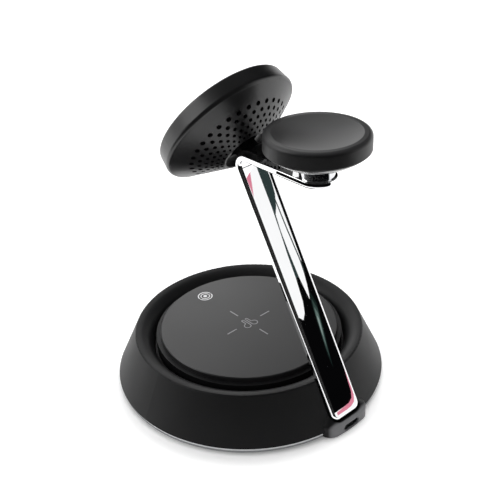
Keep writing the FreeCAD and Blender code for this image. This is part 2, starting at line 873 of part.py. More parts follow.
def hinge_bracket():
    """Saddle on the arm's bend with a neck and a barrel that reach into the hub."""
    outer = arm_thickness + saddle_thickness
    route = [along_leg(leg_length - saddle_length), knee, (knee[0] + saddle_length, strip_height)]
    saddle = bent_strip(route, arm_bend_radius, arm_thickness, outer, saddle_half_width)
    way = (math.cos(bisector), math.sin(bisector))
    across = (-way[1] * neck_thickness / 2, way[0] * neck_thickness / 2)
    near = arm_bend_radius + arm_thickness + saddle_thickness / 2
    root = (bend_centre[0] + way[0] * near, bend_centre[1] + way[1] * near)
    neck = side_slab(barrel_half_width, (root[0] + across[0], root[1] + across[1]),
                     (hinge_y + across[0], hinge_z + across[1]),
                     (hinge_y - across[0], hinge_z - across[1]),
                     (root[0] - across[0], root[1] - across[1]))
    start = Vector(-barrel_half_width, hinge_y, hinge_z)
    barrel = rod(barrel_radius, start, Vector(1, 0, 0), 2 * barrel_half_width)
    bracket = saddle.fuse([neck, barrel])
    bracket = bracket.cut(rod(hinge_pin_radius + running_gap, start, Vector(1, 0, 0), 2 * barrel_half_width))
    for screw in saddle_screw_list():
        bracket = bracket.cut(screw)
    return bracket.removeSplitter()


def at_watch(shape):
    moved = shape.copy()
    moved.translate(Vector(0, watch_y, 0))
    return moved


def watch_base():
    foot_z = strip_top
    boss_top = foot_z + boss_height
    shoulder = watch_joint - cap_gap
    floor = boss_top + watch_floor
    spigot_top = watch_joint + watch_spigot_height
    ledge = watch_bore - watch_ledge
    solid = lathe((0, foot_z), (boss_radius, foot_z), (boss_radius, boss_top),
                  ((taper_mid_radius, boss_top + taper_mid_rise), (taper_radius, shoulder)),
                  (watch_spigot, shoulder), (watch_spigot, spigot_top), (watch_bore, spigot_top),
                  (watch_bore, watch_joint), (ledge, watch_joint), (boss_radius, floor), (0, floor))
    bite = arm_thickness - watch_screw_head_height + watch_screw_bite
    solid = solid.cut(disc(watch_screw_shank, foot_z - 1, strip_height + watch_screw_head_height + bite))
    return at_watch(solid)


def watch_cap():
    side_top = cap_top - cap_round
    crest = cap_radius - cap_round
    turn = cap_round * math.sin(math.pi / 4)
    under = cap_top - dish_depth - cap_top_thickness
    sphere = (dish_radius ** 2 + dish_depth ** 2) / (2 * dish_depth)
    half_way = sphere - math.sqrt(sphere ** 2 - dish_radius ** 2 / 4)
    return at_watch(lathe((cap_inner, watch_joint), (cap_radius - cap_foot_round, watch_joint),
                          (cap_radius, watch_joint + cap_foot_round), (cap_radius, side_top),
                          ((crest + turn, side_top + turn), (crest, cap_top)), (dish_radius, cap_top),
                          ((dish_radius / 2, cap_top - dish_depth + half_way), (0, cap_top - dish_depth)),
                          (0, under), (cap_inner, under)))


def watch_board():
    return at_watch(disc(watch_bore - slip_gap, watch_joint, watch_joint + watch_board_thickness))


def watch_ferrite():
    low = watch_joint + watch_board_thickness
    return at_watch(disc(watch_ferrite_radius, low, low + watch_ferrite_thickness))


def watch_coil():
    low = watch_joint + watch_board_thickness + watch_ferrite_thickness
    return at_watch(tube(watch_coil_outer, watch_coil_inner, low, low + watch_coil_thickness))


def watch_magnet():
    low = watch_joint + watch_board_thickness + watch_ferrite_thickness
    return at_watch(disc(watch_magnet_radius, low, low + watch_magnet_thickness))


def watch_screw():
    screw = pan_screw(watch_screw_head, watch_screw_head_height, watch_screw_shank,
                      arm_thickness - watch_screw_head_height + watch_screw_bite)
    screw.translate(Vector(0, watch_y, strip_height + watch_screw_head_height))
    return screw


def in_head(shape):
    """Places a shape made with the phone's face at z = 0 and the head's depth along -Z."""
    placed = shape.copy()
    placed.rotate(Vector(0, 0, 0), Vector(1, 0, 0), 90 - recline)
    placed.translate(Vector(0, head_y, head_z))
    return placed


def head_front():
    recess = front_plate_radius - face_border
    return in_head(lathe((0, -web_front), (recess, -web_front), (recess, 0), (front_plate_radius, 0),
                         (front_plate_radius, -web_back), (0, -web_back)))


def head_face():
    radius = front_plate_radius - face_border - slip_gap
    return in_head(disc(radius, -web_front, face_proud))


def back_depth(radius):
    """Depth of the cone's outer surface at a radius."""
    return band_depth + (band_rear_radius - radius) * vent_slope


def drill(size, start, direction, length):
    """Prism with many flat sides, narrow enough to pass for a round drill."""
    side = Vector(0, 1, 0)
    other = direction.cross(side)
    corners = []
    for index in range(vent_sides + 1):
        angle = 2 * math.pi * index / vent_sides
        corners.append(start + side * (size * math.cos(angle)) + other * (size * math.sin(angle)))
    return Part.Face(Part.makePolygon(corners)).extrude(direction * length)


def vent_drills():
    normal_out = vent_slope / math.sqrt(1 + vent_slope ** 2)
    normal_back = 1 / math.sqrt(1 + vent_slope ** 2)
    ratio = (vent_last_radius / vent_first_radius) ** (1.0 / (vent_rings - 1))
    drills = []
    for ring in range(vent_rings):
        radius = vent_first_radius * ratio ** ring
        depth = back_depth(radius)
        size = vent_first_diameter * ratio ** ring / 2
        inside = Vector(radius - normal_out * (back_wall + 0.5), 0, -depth + normal_back * (back_wall + 0.5))
        hole = drill(size, inside, Vector(normal_out, 0, -normal_back), back_wall + 1.0)
        step = 360.0 / vent_rays
        drills += ring_of(hole, vent_rays, 90 + step / 2 * (ring % 2))
    return drills


def head_back():
    turn = band_front_round * (1 - math.sin(math.pi / 4))
    lean_back = math.atan(1 / vent_slope)
    ridge_end = (band_rear_radius - ridge_round * math.sin(lean_back),
                 -band_depth - ridge_round * math.cos(lean_back))
    ridge_middle = (band_rear_radius - ridge_sink, -band_depth)
    ledge = head_bore - head_ledge
    hub_bore = hub_radius - hub_lip
    cup_radius = band_rear_radius - (hub_floor_front + back_wall_along - band_depth) / vent_slope
    back = lathe((head_bore, 0), (band_front_radius - band_front_round, 0),
                 ((band_front_radius - turn, -turn), (band_front_radius, -band_front_round)),
                 (band_rear_radius, -band_depth + ridge_round), (ridge_middle, ridge_end),
                 (hub_radius, -hub_end), (hub_bore, -hub_end), (hub_bore, -hub_floor_back),
                 (0, -hub_floor_back), (0, -hub_floor_front), (cup_radius, -hub_floor_front),
                 (ledge, -(back_depth(ledge) - back_wall_along)), (ledge, -spreader_back),
                 (head_bore, -spreader_back))
    cheek = pocket_half_width + cheek_thickness
    wall = pocket_half_height + pocket_wall
    box = block(-cheek, cheek, -wall, wall, -hub_floor_back, -pocket_front + pocket_wall)
    room = block(-pocket_half_width, pocket_half_width, -pocket_half_height, pocket_half_height,
                 -hub_end, -pocket_front)
    back = back.fuse(box).cut(room)
    pin_start = Vector(-cheek - 1, 0, -hinge_depth)
    back = back.cut(rod(hinge_pin_radius, pin_start, Vector(1, 0, 0), 2 * cheek + 2))
    return in_head(back.cut(vent_drills()).removeSplitter())


def hinge_pin():
    half = pocket_half_width + cheek_thickness
    return rod(hinge_pin_radius, Vector(-half, hinge_y, hinge_z), Vector(1, 0, 0), 2 * half)


def hinge_washers():
    washers = []
    for low in (-pocket_half_width + joint_gap, barrel_half_width + joint_gap):
        start = Vector(low, hinge_y, hinge_z)
        washer = rod(washer_radius, start, Vector(1, 0, 0), washer_thickness)
        washers.append(washer.cut(rod(hinge_pin_radius, start, Vector(1, 0, 0), washer_thickness)))
    return Part.makeCompound(washers)


def sector(inner, outer, low, high, middle_angle, spread):
    """Part of a ring, between two angles about Z."""
    ring = tube(outer, inner, low, high)
    wedge = Part.makeCylinder(outer + 1, high - low, Vector(0, 0, low), Vector(0, 0, 1), spread)
    wedge.rotate(Vector(0, 0, 0), Vector(0, 0, 1), middle_angle - spread / 2)
    return ring.common(wedge)


def head_magnets():
    spread = 360.0 / magnet_count - magnet_gap_angle
    magnet = sector(magnet_inner, magnet_outer, -ferrite_front, -web_back, 90, spread)
    return in_head(Part.makeCompound(ring_of(magnet, magnet_count)))


def head_coil():
    return in_head(tube(head_coil_outer, head_coil_inner, -ferrite_front, -web_back))


def head_ferrite():
    return in_head(disc(head_ferrite_radius, -spreader_front, -ferrite_front))


def heat_spreader():
    plate = disc(front_plate_radius, -spreader_back, -spreader_front)
    pieces = []
    for index in range(fin_count):
        fin = block(fin_inner, fin_outer, -fin_thickness / 2, fin_thickness / 2,
                    -spreader_back - fin_height, -spreader_back)
        angle = 90 - fin_spread / 2 + fin_spread * index / (fin_count - 1)
        fin.rotate(Vector(0, 0, 0), Vector(0, 0, 1), angle)
        pieces.append(fin)
    middle = (head_board_inner + head_board_outer) / 2
    for angle in (-90 - head_post_angle, -90, -90 + head_post_angle):
        x = middle * math.cos(math.radians(angle))
        y = middle * math.sin(math.radians(angle))
        pieces.append(disc(head_post_radius, -spreader_back - head_board_lift, -spreader_back, x, y))
    return in_head(plate.fuse(pieces).removeSplitter())


def head_board():
    low = -spreader_back - head_board_lift - head_board_thickness
    return in_head(sector(head_board_inner, head_board_outer, low, low + head_board_thickness, -90,
                          head_board_spread))


def fan_frame():
    bore = fan_frame_outer - fan_frame_wall
    frame = tube(fan_frame_outer, bore, -fan_back, -spreader_back)
    spoke_front = -fan_back + fan_spoke_thickness
    spoke = block(0, bore + fan_frame_wall / 2, -fan_spoke_width / 2, fan_spoke_width / 2,
                  -fan_back, spoke_front)
    frame = frame.fuse(ring_of(spoke, fan_spoke_count, 90))
    frame = frame.fuse(disc(fan_boss_radius, -fan_back, spoke_front))
    return in_head(frame.cut(disc(fan_bearing_radius, -fan_back - 1, spoke_front + 1)).removeSplitter())


def fan_bearing():
    bore = fan_shaft_radius + running_gap
    return in_head(tube(fan_bearing_radius, bore, -fan_back, -fan_back + fan_spoke_thickness))


def fan_rotor():
    hub_back = -fan_back + fan_spoke_thickness + rotor_gap / 2
    hub_front = hub_back + fan_hub_height
    tip = fan_frame_outer - fan_frame_wall - fan_tip_gap
    blade = block(fan_hub_radius / 2, tip, -fan_blade_chord / 2, fan_blade_chord / 2,
                  -fan_blade_thickness / 2, fan_blade_thickness / 2)
    blade.rotate(Vector(0, 0, 0), Vector(1, 0, 0), fan_blade_pitch)
    blade.translate(Vector(0, 0, (hub_back + hub_front) / 2))
    rotor = disc(fan_hub_radius, hub_back, hub_front).fuse(ring_of(blade, fan_blade_count))
    swept = disc(tip, hub_back, hub_front)
    rotor = rotor.common(swept)
    return in_head(rotor.cut(disc(fan_shaft_radius, hub_back - 1, hub_front + 1)).removeSplitter())


def fan_shaft():
    front = -fan_back + fan_spoke_thickness + rotor_gap / 2 + fan_hub_height
    return in_head(disc(fan_shaft_radius, -fan_back, front))


SUB_PARTS = [base_shell, bottom_plate, rubber_mat, base_screws, light_ring, light_board, leds, ballast_plate,
             main_board, board_screws, usb_socket, usb_tongue, pad_tray, pad_cover, pad_ferrite, pad_coil,
             touch_electrode, arm_bar, leg_cover, strip_cover, arm_cable, arm_screws, hinge_bracket,
             saddle_screws, watch_base, watch_cap, watch_board, watch_ferrite, watch_coil, watch_magnet,
             watch_screw, head_front, head_face, head_back, head_magnets, head_coil, head_ferrite,
             heat_spreader, head_board, hinge_pin, hinge_washers, fan_frame, fan_bearing, fan_rotor,
             fan_shaft]


def main():
    os.makedirs("parts", exist_ok=True)
    for make in SUB_PARTS:
        shape = make()
        shape.exportStep(os.path.join("parts", make.__name__ + ".step"))
        print(make.__name__, len(shape.Solids), "solid,", round(shape.Volume), "mm3")


main()
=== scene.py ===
# %% [markdown]
# # A charging stand for a phone, a watch and earbuds
#
# The stand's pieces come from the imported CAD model, already in place and at their real size in metres.
# What is left for Blender is what the eye reads as material: moulded plastic, chrome, silicone, printed
# marks and soft studio light. The CAD meshes stay as they are, so every size stays true.

# %% Load the frame
import json
import math

import bmesh
import bpy
from mathutils import Matrix, Vector


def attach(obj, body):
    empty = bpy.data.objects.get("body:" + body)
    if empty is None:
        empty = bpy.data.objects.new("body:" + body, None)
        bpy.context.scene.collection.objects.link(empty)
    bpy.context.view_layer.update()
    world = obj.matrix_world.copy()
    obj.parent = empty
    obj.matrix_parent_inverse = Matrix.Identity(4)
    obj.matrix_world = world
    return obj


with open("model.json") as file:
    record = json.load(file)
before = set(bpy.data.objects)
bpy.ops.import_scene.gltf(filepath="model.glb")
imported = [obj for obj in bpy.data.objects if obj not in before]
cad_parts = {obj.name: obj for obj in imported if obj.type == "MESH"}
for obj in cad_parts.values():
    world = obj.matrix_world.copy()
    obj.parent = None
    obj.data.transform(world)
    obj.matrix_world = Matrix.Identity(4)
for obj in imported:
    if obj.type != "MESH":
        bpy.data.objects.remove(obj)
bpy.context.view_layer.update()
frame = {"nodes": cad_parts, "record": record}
nodes = frame["nodes"]
MM = 0.001
print("pieces from the CAD model:", len(nodes))

# %% [markdown]
# ## Smooth turned surfaces
#
# A cone or a round edge is stored as flat facets. They could be subdivided, but that would change the
# outline. Shading them smooth, with sharp edges kept wherever two faces meet at more than a small angle,
# gives the look of a turned or moulded surface and leaves every vertex where it is. A flat face beside a
# round edge would still look bulged, because its corners share the round's direction. The Weighted Normal
# modifier gives the larger face the say, so that flats stay flat, which a mirror finish shows at once.

# %% Shade the CAD pieces
CREASE = math.radians(35)
for piece in nodes.values():
    mesh = piece.data
    mesh.polygons.foreach_set("use_smooth", [True] * len(mesh.polygons))
    mesh.set_sharp_from_angle(angle=CREASE)
    weighted = piece.modifiers.new("flat faces stay flat", "WEIGHTED_NORMAL")
    weighted.keep_sharp = True
print("shaded smooth, creases over", round(math.degrees(CREASE)), "degrees")

# %% [markdown]
# ## Places on the object
#
# The record says where the phone, the earbuds and the watch rest. Patterns that belong to the tilted head
# or to the watch rest are drawn about these places, so that rings stay round and centred.

# %% Read the places
mounts = {mount["name"]: mount for mount in frame["record"]["mounts"]}
pad_level = mounts["earbud_pad"]["pos_m"][2]
face_place = Vector(mounts["phone_face"]["pos_m"])
face_axis = Vector(mounts["phone_face"]["axis"])
watch_place = Vector(mounts["watch_rest"]["pos_m"])
face_turn = math.atan2(-face_axis.y, face_axis.z)
print("the phone's face leans back", round(90 - math.degrees(face_turn), 1), "degrees")

# %% [markdown]
# ## Helpers for materials
#
# Colours are chosen as the hex values that a picture editor shows. Blender calculates in linear light, so
# one function turns hex to linear. A second function adds a shader node, sets its options and fills or
# links its inputs, which keeps each material to a few lines. A Mix node has one set of sockets for
# numbers, one for vectors and one for colours, under the same names, so its colour sockets are told
# apart by number.

# %% Define the helpers
FACTOR, FIRST, SECOND, MIXED = 0, 6, 7, 2


def linear(code):
    """Linear RGBA of an sRGB hex colour such as 1B1B1C."""
    channels = [int(code[i:i + 2], 16) / 255 for i in (0, 2, 4)]
    curve = [c / 12.92 if c <= 0.04045 else ((c + 0.055) / 1.055) ** 2.4 for c in channels]
    return (*curve, 1.0)


def add(tree, kind, inputs=None, **options):
    """A node with its options set, and its inputs filled with values or linked to outputs."""
    node = tree.nodes.new(kind)
    for name, value in options.items():
        setattr(node, name, value)
    for name, value in (inputs or {}).items():
        if isinstance(value, bpy.types.NodeSocket):
            tree.links.new(value, node.inputs[name])
        else:
            node.inputs[name].default_value = value
    return node


def new_finish(name, **constants):
    """A material with one Principled shader; constants are set straight on its sockets."""
    material = bpy.data.materials.new(name)
    material.use_nodes = True
    tree = material.node_tree
    shader = tree.nodes["Principled BSDF"]
    for socket, value in constants.items():
        shader.inputs[socket.replace("_", " ")].default_value = value
    return material, tree, shader


def per_metre(size_mm):
    """Texture scale that makes one feature about as large as a real size in millimetres."""
    return 1.0 / (size_mm * MM)


def dress(material, *names):
    """Gives a finish to CAD pieces, in every material slot."""
    for name in names:
        piece = nodes[name]
        if not piece.material_slots:
            piece.data.materials.append(material)
        for slot in piece.material_slots:
            slot.material = material
    print(material.name, "on", len(names), "pieces")


print("black of the shell in linear light:", [round(channel, 4) for channel in linear("121213")[:3]])

# %% [markdown]
# ## Spark-eroded black ABS
#
# The base and the phone head are moulded in black ABS. The mould was spark-eroded, which leaves a very
# fine even grain: it breaks up reflections, so the plastic looks matte from above and pale along its
# edges, where it is seen at a low angle. The real grain is near 0.1 mm, too fine to show, so it is drawn
# at 0.3 mm. A second, much larger noise varies the roughness a little, as handling and mould flow do. In
# the photo the head is glossier than the base, so its plastic is smoother and reflects more.

# %% Make the black ABS
GRAIN_MM = 0.3
FLOW_MM = 26.0


def spark_eroded_abs(name, dark, light, rough_low, rough_high, reflectance):
    material, tree, shader = new_finish(name, IOR=1.52, Specular_IOR_Level=reflectance)
    place = add(tree, "ShaderNodeTexCoord").outputs["Object"]
    grain = add(tree, "ShaderNodeTexNoise", {"Vector": place, "Scale": per_metre(GRAIN_MM), "Detail": 3.0})
    flow = add(tree, "ShaderNodeTexNoise", {"Vector": place, "Scale": per_metre(FLOW_MM), "Detail": 2.0})
    colour = add(tree, "ShaderNodeMix", data_type="RGBA",
                 inputs={FACTOR: grain.outputs["Fac"], FIRST: linear(dark), SECOND: linear(light)})
    rough = add(tree, "ShaderNodeMapRange", {"Value": flow.outputs["Fac"], "From Min": 0.3, "From Max": 0.7,
                                             "To Min": rough_low, "To Max": rough_high})
    bump = add(tree, "ShaderNodeBump", {"Height": grain.outputs["Fac"], "Strength": 0.25,
                                        "Distance": 0.03 * MM})
    tree.links.new(colour.outputs[MIXED], shader.inputs["Base Color"])
    tree.links.new(rough.outputs["Result"], shader.inputs["Roughness"])
    tree.links.new(bump.outputs["Normal"], shader.inputs["Normal"])
    return material


base_abs = spark_eroded_abs("Spark-eroded black ABS", "121213", "1A1A1B", 0.42, 0.50, 0.21)
dress(base_abs, "base_shell", "bottom_plate", "pad_tray")
head_abs = spark_eroded_abs("Spark-eroded black ABS, head", "111112", "19191A", 0.30, 0.37, 0.6)
dress(head_abs, "head_front", "head_back")

# %% [markdown]
# ## Painted reflection on the lug
#
# The upright face of the lug round the power inlet mirrors the bright floor in front of it, so it
# looks greyer than the cone. It is part of the same moulding, so it can't take a finish of its own, and
# that reflection is painted into its colour. Its face is the only place of the shell that lies further
# out than the cone's edge, so the distance from the middle axis tells where it is. A soft step in that
# distance mixes a paler grey, the painted reflection, into the shell's colour.

# %% Paint the floor's reflection on the lug
LUG_REFLECTION_START_MM = 60.7
LUG_REFLECTION_END_MM = 62.2
tree = base_abs.node_tree
shader = tree.nodes["Principled BSDF"]
plain = shader.inputs["Base Color"].links[0].from_socket
place = add(tree, "ShaderNodeTexCoord").outputs["Object"]
flat = add(tree, "ShaderNodeVectorMath", {0: place, 1: (1.0, 1.0, 0.0)}, operation="MULTIPLY")
reach = add(tree, "ShaderNodeVectorMath", {0: flat.outputs["Vector"]}, operation="LENGTH")
outer = add(tree, "ShaderNodeMapRange", {"Value": reach.outputs["Value"], "From Min": LUG_REFLECTION_START_MM * MM,
                                        "From Max": LUG_REFLECTION_END_MM * MM}, interpolation_type="SMOOTHSTEP")
# painted reflection: a paler grey mixed into the shell's colour on the lug's upright face
mixed = add(tree, "ShaderNodeMix", data_type="RGBA",
            inputs={FACTOR: outer.outputs["Result"], FIRST: plain, SECOND: linear("808082")})
tree.links.new(mixed.outputs[MIXED], shader.inputs["Base Color"])
print("the lug's face is paler beyond", LUG_REFLECTION_START_MM, "mm from the middle")

# %% [markdown]
# ## Satin lacquered pad
#
# The earbud pad is a polycarbonate disc under a satin lacquer. Lacquer levels itself, so it has no grain,
# only a faint orange-peel waviness, and it mirrors large shapes softly. That is why it looks greyer than
# the shell round it.

# %% Make the pad's lacquer
PEEL_MM = 1.6
HAZE_MM = 30.0
material, tree, shader = new_finish("Satin black lacquer on polycarbonate", IOR=1.58,
                                    Specular_IOR_Level=0.4)
place = add(tree, "ShaderNodeTexCoord").outputs["Object"]
peel = add(tree, "ShaderNodeTexNoise", {"Vector": place, "Scale": per_metre(PEEL_MM), "Detail": 1.0})
haze = add(tree, "ShaderNodeTexNoise", {"Vector": place, "Scale": per_metre(HAZE_MM), "Detail": 2.0})
colour = add(tree, "ShaderNodeMix", data_type="RGBA",
             inputs={FACTOR: haze.outputs["Fac"], FIRST: linear("1D1D1E"), SECOND: linear("232324")})
rough = add(tree, "ShaderNodeMapRange", {"Value": haze.outputs["Fac"], "From Min": 0.3, "From Max": 0.7,
                                         "To Min": 0.34, "To Max": 0.40})
bump = add(tree, "ShaderNodeBump", {"Height": peel.outputs["Fac"], "Strength": 0.06, "Distance": 0.02 * MM})
tree.links.new(colour.outputs[MIXED], shader.inputs["Base Color"])
tree.links.new(rough.outputs["Result"], shader.inputs["Roughness"])
tree.links.new(bump.outputs["Normal"], shader.inputs["Normal"])
dress(material, "pad_cover")

# %% [markdown]
# ## Soft-touch watch cap
#
# The cap of the watch rest looks sprayed with soft-touch paint, so that a watch doesn't slip or scratch.
# It is a little rubbery: a broad, dim highlight, and a trace of powdery sheen at low angles. The dish is
# smoother than the side, as watches would rub it. The rounded rim gets a painted highlight: a paler grey
# mixed into its colour. The upward part of the surface's own direction tells side, rim and dish apart: it
# is 0 on the side, 1 on a level face, and in between on the rim.

# %% Make the soft-touch paint
POWDER_MM = 0.25
SIDE_UPWARD, DISH_UPWARD = 0.3, 0.95
RIM_HIGHLIGHT_START, RIM_HIGHLIGHT_FULL, RIM_HIGHLIGHT_FADE, RIM_HIGHLIGHT_END = 0.35, 0.8, 0.93, 0.99
SIDE_DULLNESS = 0.12
material, tree, shader = new_finish("Soft-touch black paint", IOR=1.48, Sheen_Weight=0.02,
                                    Sheen_Roughness=0.5, Specular_IOR_Level=0.42)
place = add(tree, "ShaderNodeTexCoord").outputs["Object"]
powder = add(tree, "ShaderNodeTexNoise", {"Vector": place, "Scale": per_metre(POWDER_MM), "Detail": 2.0})
colour = add(tree, "ShaderNodeMix", data_type="RGBA",
             inputs={FACTOR: powder.outputs["Fac"], FIRST: linear("121213"), SECOND: linear("19191A")})
rough = add(tree, "ShaderNodeMapRange", {"Value": powder.outputs["Fac"], "To Min": 0.28, "To Max": 0.34})
bump = add(tree, "ShaderNodeBump", {"Height": powder.outputs["Fac"], "Strength": 0.15,
                                    "Distance": 0.02 * MM})
upward = add(tree, "ShaderNodeSeparateXYZ", {0: add(tree, "ShaderNodeNewGeometry").outputs["Normal"]})
rising = add(tree, "ShaderNodeMapRange", {"Value": upward.outputs["Z"], "From Min": RIM_HIGHLIGHT_START,
                                          "From Max": RIM_HIGHLIGHT_FULL})
falling = add(tree, "ShaderNodeMapRange", {"Value": upward.outputs["Z"], "From Min": RIM_HIGHLIGHT_FADE,
                                           "From Max": RIM_HIGHLIGHT_END, "To Min": 1.0, "To Max": 0.0})
rim = add(tree, "ShaderNodeMath", {0: rising.outputs["Result"], 1: falling.outputs["Result"]},
          operation="MULTIPLY")
# painted highlight: the rounded rim's colour is mixed towards a paler grey
cap_with_painted_highlight = add(tree, "ShaderNodeMix", data_type="RGBA",
            inputs={FACTOR: rim.outputs[0], FIRST: colour.outputs[MIXED], SECOND: linear("2E2E2F")})
dull = add(tree, "ShaderNodeMapRange", {"Value": upward.outputs["Z"], "From Min": SIDE_UPWARD,
                                        "From Max": DISH_UPWARD, "To Min": SIDE_DULLNESS, "To Max": 0.0})
worn = add(tree, "ShaderNodeMath", {0: rough.outputs["Result"], 1: dull.outputs["Result"]},
           operation="ADD")
tree.links.new(cap_with_painted_highlight.outputs[MIXED], shader.inputs["Base Color"])
tree.links.new(worn.outputs[0], shader.inputs["Roughness"])
tree.links.new(bump.outputs["Normal"], shader.inputs["Normal"])
dress(material, "watch_cap")

# %% [markdown]
# ## Polished black ABS
#
# The watch rest's foot, the fan and the arm's covers come out of a polished mould. They are as black as
# the shell, but they mirror their surroundings sharply, with a trace of moulding ripple.

# %% Make the polished ABS
RIPPLE_MM = 4.0
material, tree, shader = new_finish("Polished black ABS", IOR=1.54)
place = add(tree, "ShaderNodeTexCoord").outputs["Object"]
ripple = add(tree, "ShaderNodeTexNoise", {"Vector": place, "Scale": per_metre(RIPPLE_MM), "Detail": 1.0})
colour = add(tree, "ShaderNodeMix", data_type="RGBA",
             inputs={FACTOR: ripple.outputs["Fac"], FIRST: linear("0C0C0D"), SECOND: linear("131314")})
rough = add(tree, "ShaderNodeMapRange", {"Value": ripple.outputs["Fac"], "To Min": 0.10, "To Max": 0.18})
bump = add(tree, "ShaderNodeBump", {"Height": ripple.outputs["Fac"], "Strength": 0.04,
                                    "Distance": 0.02 * MM})
tree.links.new(colour.outputs[MIXED], shader.inputs["Base Color"])
tree.links.new(rough.outputs["Result"], shader.inputs["Roughness"])
tree.links.new(bump.outputs["Normal"], shader.inputs["Normal"])
dress(material, "leg_cover", "strip_cover", "fan_frame", "fan_rotor", "usb_tongue")

# %% [markdown]
# ## Plated boss of the watch rest
#
# The foot of the watch rest is polished black like the covers. The short round boss that stands on the
# arm shows highlights as sharp as the arm's, so it is taken to be plated. It could be a piece of its own,
# but in the CAD model it is one with the taper above it. So a copy of the polished finish turns to metal
# below the height where the boss ends and the taper begins.

# %% Plate the boss
BOSS_TOP_MM = 113.8
plated = material.copy()
plated.name = "Polished black ABS with a plated boss"
tree = plated.node_tree
shader = tree.nodes["Principled BSDF"]
plain = shader.inputs["Base Color"].links[0].from_socket
place = add(tree, "ShaderNodeTexCoord").outputs["Object"]
height = add(tree, "ShaderNodeSeparateXYZ", {0: place})
metal = add(tree, "ShaderNodeMath", {0: height.outputs["Z"], 1: BOSS_TOP_MM * MM},
            operation="LESS_THAN")
mixed = add(tree, "ShaderNodeMix", data_type="RGBA",
            inputs={FACTOR: metal.outputs[0], FIRST: plain, SECOND: linear("E2E3E5")})
tree.links.new(mixed.outputs[MIXED], shader.inputs["Base Color"])
tree.links.new(metal.outputs[0], shader.inputs["Metallic"])
dress(plated, "watch_base")

# %% [markdown]
# ## Chromium plate
#
# The arm is polished and plated with chromium: a mirror with a slightly cool tint. Almost all of its look
# comes from what stands round it. Only a faint haze from wiping keeps it from being perfect.

# %% Make the chromium
WIPE_MM = 9.0
material, tree, shader = new_finish("Chromium plate on zinc alloy", Metallic=1.0)
place = add(tree, "ShaderNodeTexCoord").outputs["Object"]
wipe = add(tree, "ShaderNodeTexNoise", {"Vector": place, "Scale": per_metre(WIPE_MM), "Detail": 3.0})
colour = add(tree, "ShaderNodeMix", data_type="RGBA",
             inputs={FACTOR: wipe.outputs["Fac"], FIRST: linear("F6F7F8"), SECOND: linear("FCFCFD")})
rough = add(tree, "ShaderNodeMapRange", {"Value": wipe.outputs["Fac"], "To Min": 0.004, "To Max": 0.012})
tree.links.new(colour.outputs[MIXED], shader.inputs["Base Color"])
tree.links.new(rough.outputs["Result"], shader.inputs["Roughness"])
dress(material, "arm_bar")

# %% [markdown]
# ## Silicone rubber
#
# The phone's face and the mat under the base are silicone. It is almost without gloss and grips by a fine
# pebbled surface, here a cell pattern of shallow bumps.

# %% Make the silicone
PEBBLE_MM = 0.8
material, tree, shader = new_finish("Pebbled black silicone rubber", IOR=1.41)
place = add(tree, "ShaderNodeTexCoord").outputs["Object"]
pebble = add(tree, "ShaderNodeTexVoronoi", {"Vector": place, "Scale": per_metre(PEBBLE_MM)})
colour = add(tree, "ShaderNodeMix", data_type="RGBA",
             inputs={FACTOR: pebble.outputs["Distance"], FIRST: linear("242425"), SECOND: linear("19191A")})
rough = add(tree, "ShaderNodeMapRange", {"Value": pebble.outputs["Distance"], "To Min": 0.62,
                                         "To Max": 0.75})
bump = add(tree, "ShaderNodeBump", {"Height": pebble.outputs["Distance"], "Strength": 0.2,
                                    "Distance": 0.05 * MM}, invert=True)
tree.links.new(colour.outputs[MIXED], shader.inputs["Base Color"])
tree.links.new(rough.outputs["Result"], shader.inputs["Roughness"])
tree.links.new(bump.outputs["Normal"], shader.inputs["Normal"])
dress(material, "rubber_mat", "head_face")

# %% [markdown]
# ## Frosted light guide
#
# The thin pale ring under the shell is acrylic with a frosted skin, which spreads the light of the diodes
# behind it. Switched off, it is a milky white that lets a little light in. Only a thin line of it shows
# bright under the shell; its lower part lies in the contact shadow, which is painted into its colour as a
# grey. The height above the table says where the painted shadow begins.

# %% Make the frosted acrylic
FROST_MM = 0.4
RING_SHADOW_LOW_MM = 1.4
RING_SHADOW_HIGH_MM = 1.8
material, tree, shader = new_finish("Frosted acrylic", IOR=1.49, Subsurface_Weight=0.35,
                                    Subsurface_Scale=2.0 * MM, Subsurface_Radius=(1.0, 1.0, 1.0))
place = add(tree, "ShaderNodeTexCoord").outputs["Object"]
frost = add(tree, "ShaderNodeTexNoise", {"Vector": place, "Scale": per_metre(FROST_MM), "Detail": 2.0})
colour = add(tree, "ShaderNodeMix", data_type="RGBA",
             inputs={FACTOR: frost.outputs["Fac"], FIRST: linear("E4E7EA"), SECOND: linear("F4F5F6")})
rough = add(tree, "ShaderNodeMapRange", {"Value": frost.outputs["Fac"], "To Min": 0.40, "To Max": 0.55})
height = add(tree, "ShaderNodeSeparateXYZ", {0: place})
clear_of_painted_shadow = add(tree, "ShaderNodeMapRange", {"Value": height.outputs["Z"], "From Min": RING_SHADOW_LOW_MM * MM,
                                           "From Max": RING_SHADOW_HIGH_MM * MM})
# painted shadow: the grey for the ring's lower part, where the contact shadow lies
mask = linear("8E9092")
ring_with_painted_shadow = add(tree, "ShaderNodeMix", data_type="RGBA",
             inputs={FACTOR: clear_of_painted_shadow.outputs["Result"], FIRST: mask, SECOND: colour.outputs[MIXED]})
tree.links.new(ring_with_painted_shadow.outputs[MIXED], shader.inputs["Base Color"])
tree.links.new(rough.outputs["Result"], shader.inputs["Roughness"])
dress(material, "light_ring")

# %% [markdown]
# ## Powder-coated zinc
#
# The hinge bracket is die-cast zinc with a baked powder coat. Powder melts into a skin with a soft,
# leathery waviness called orange peel.

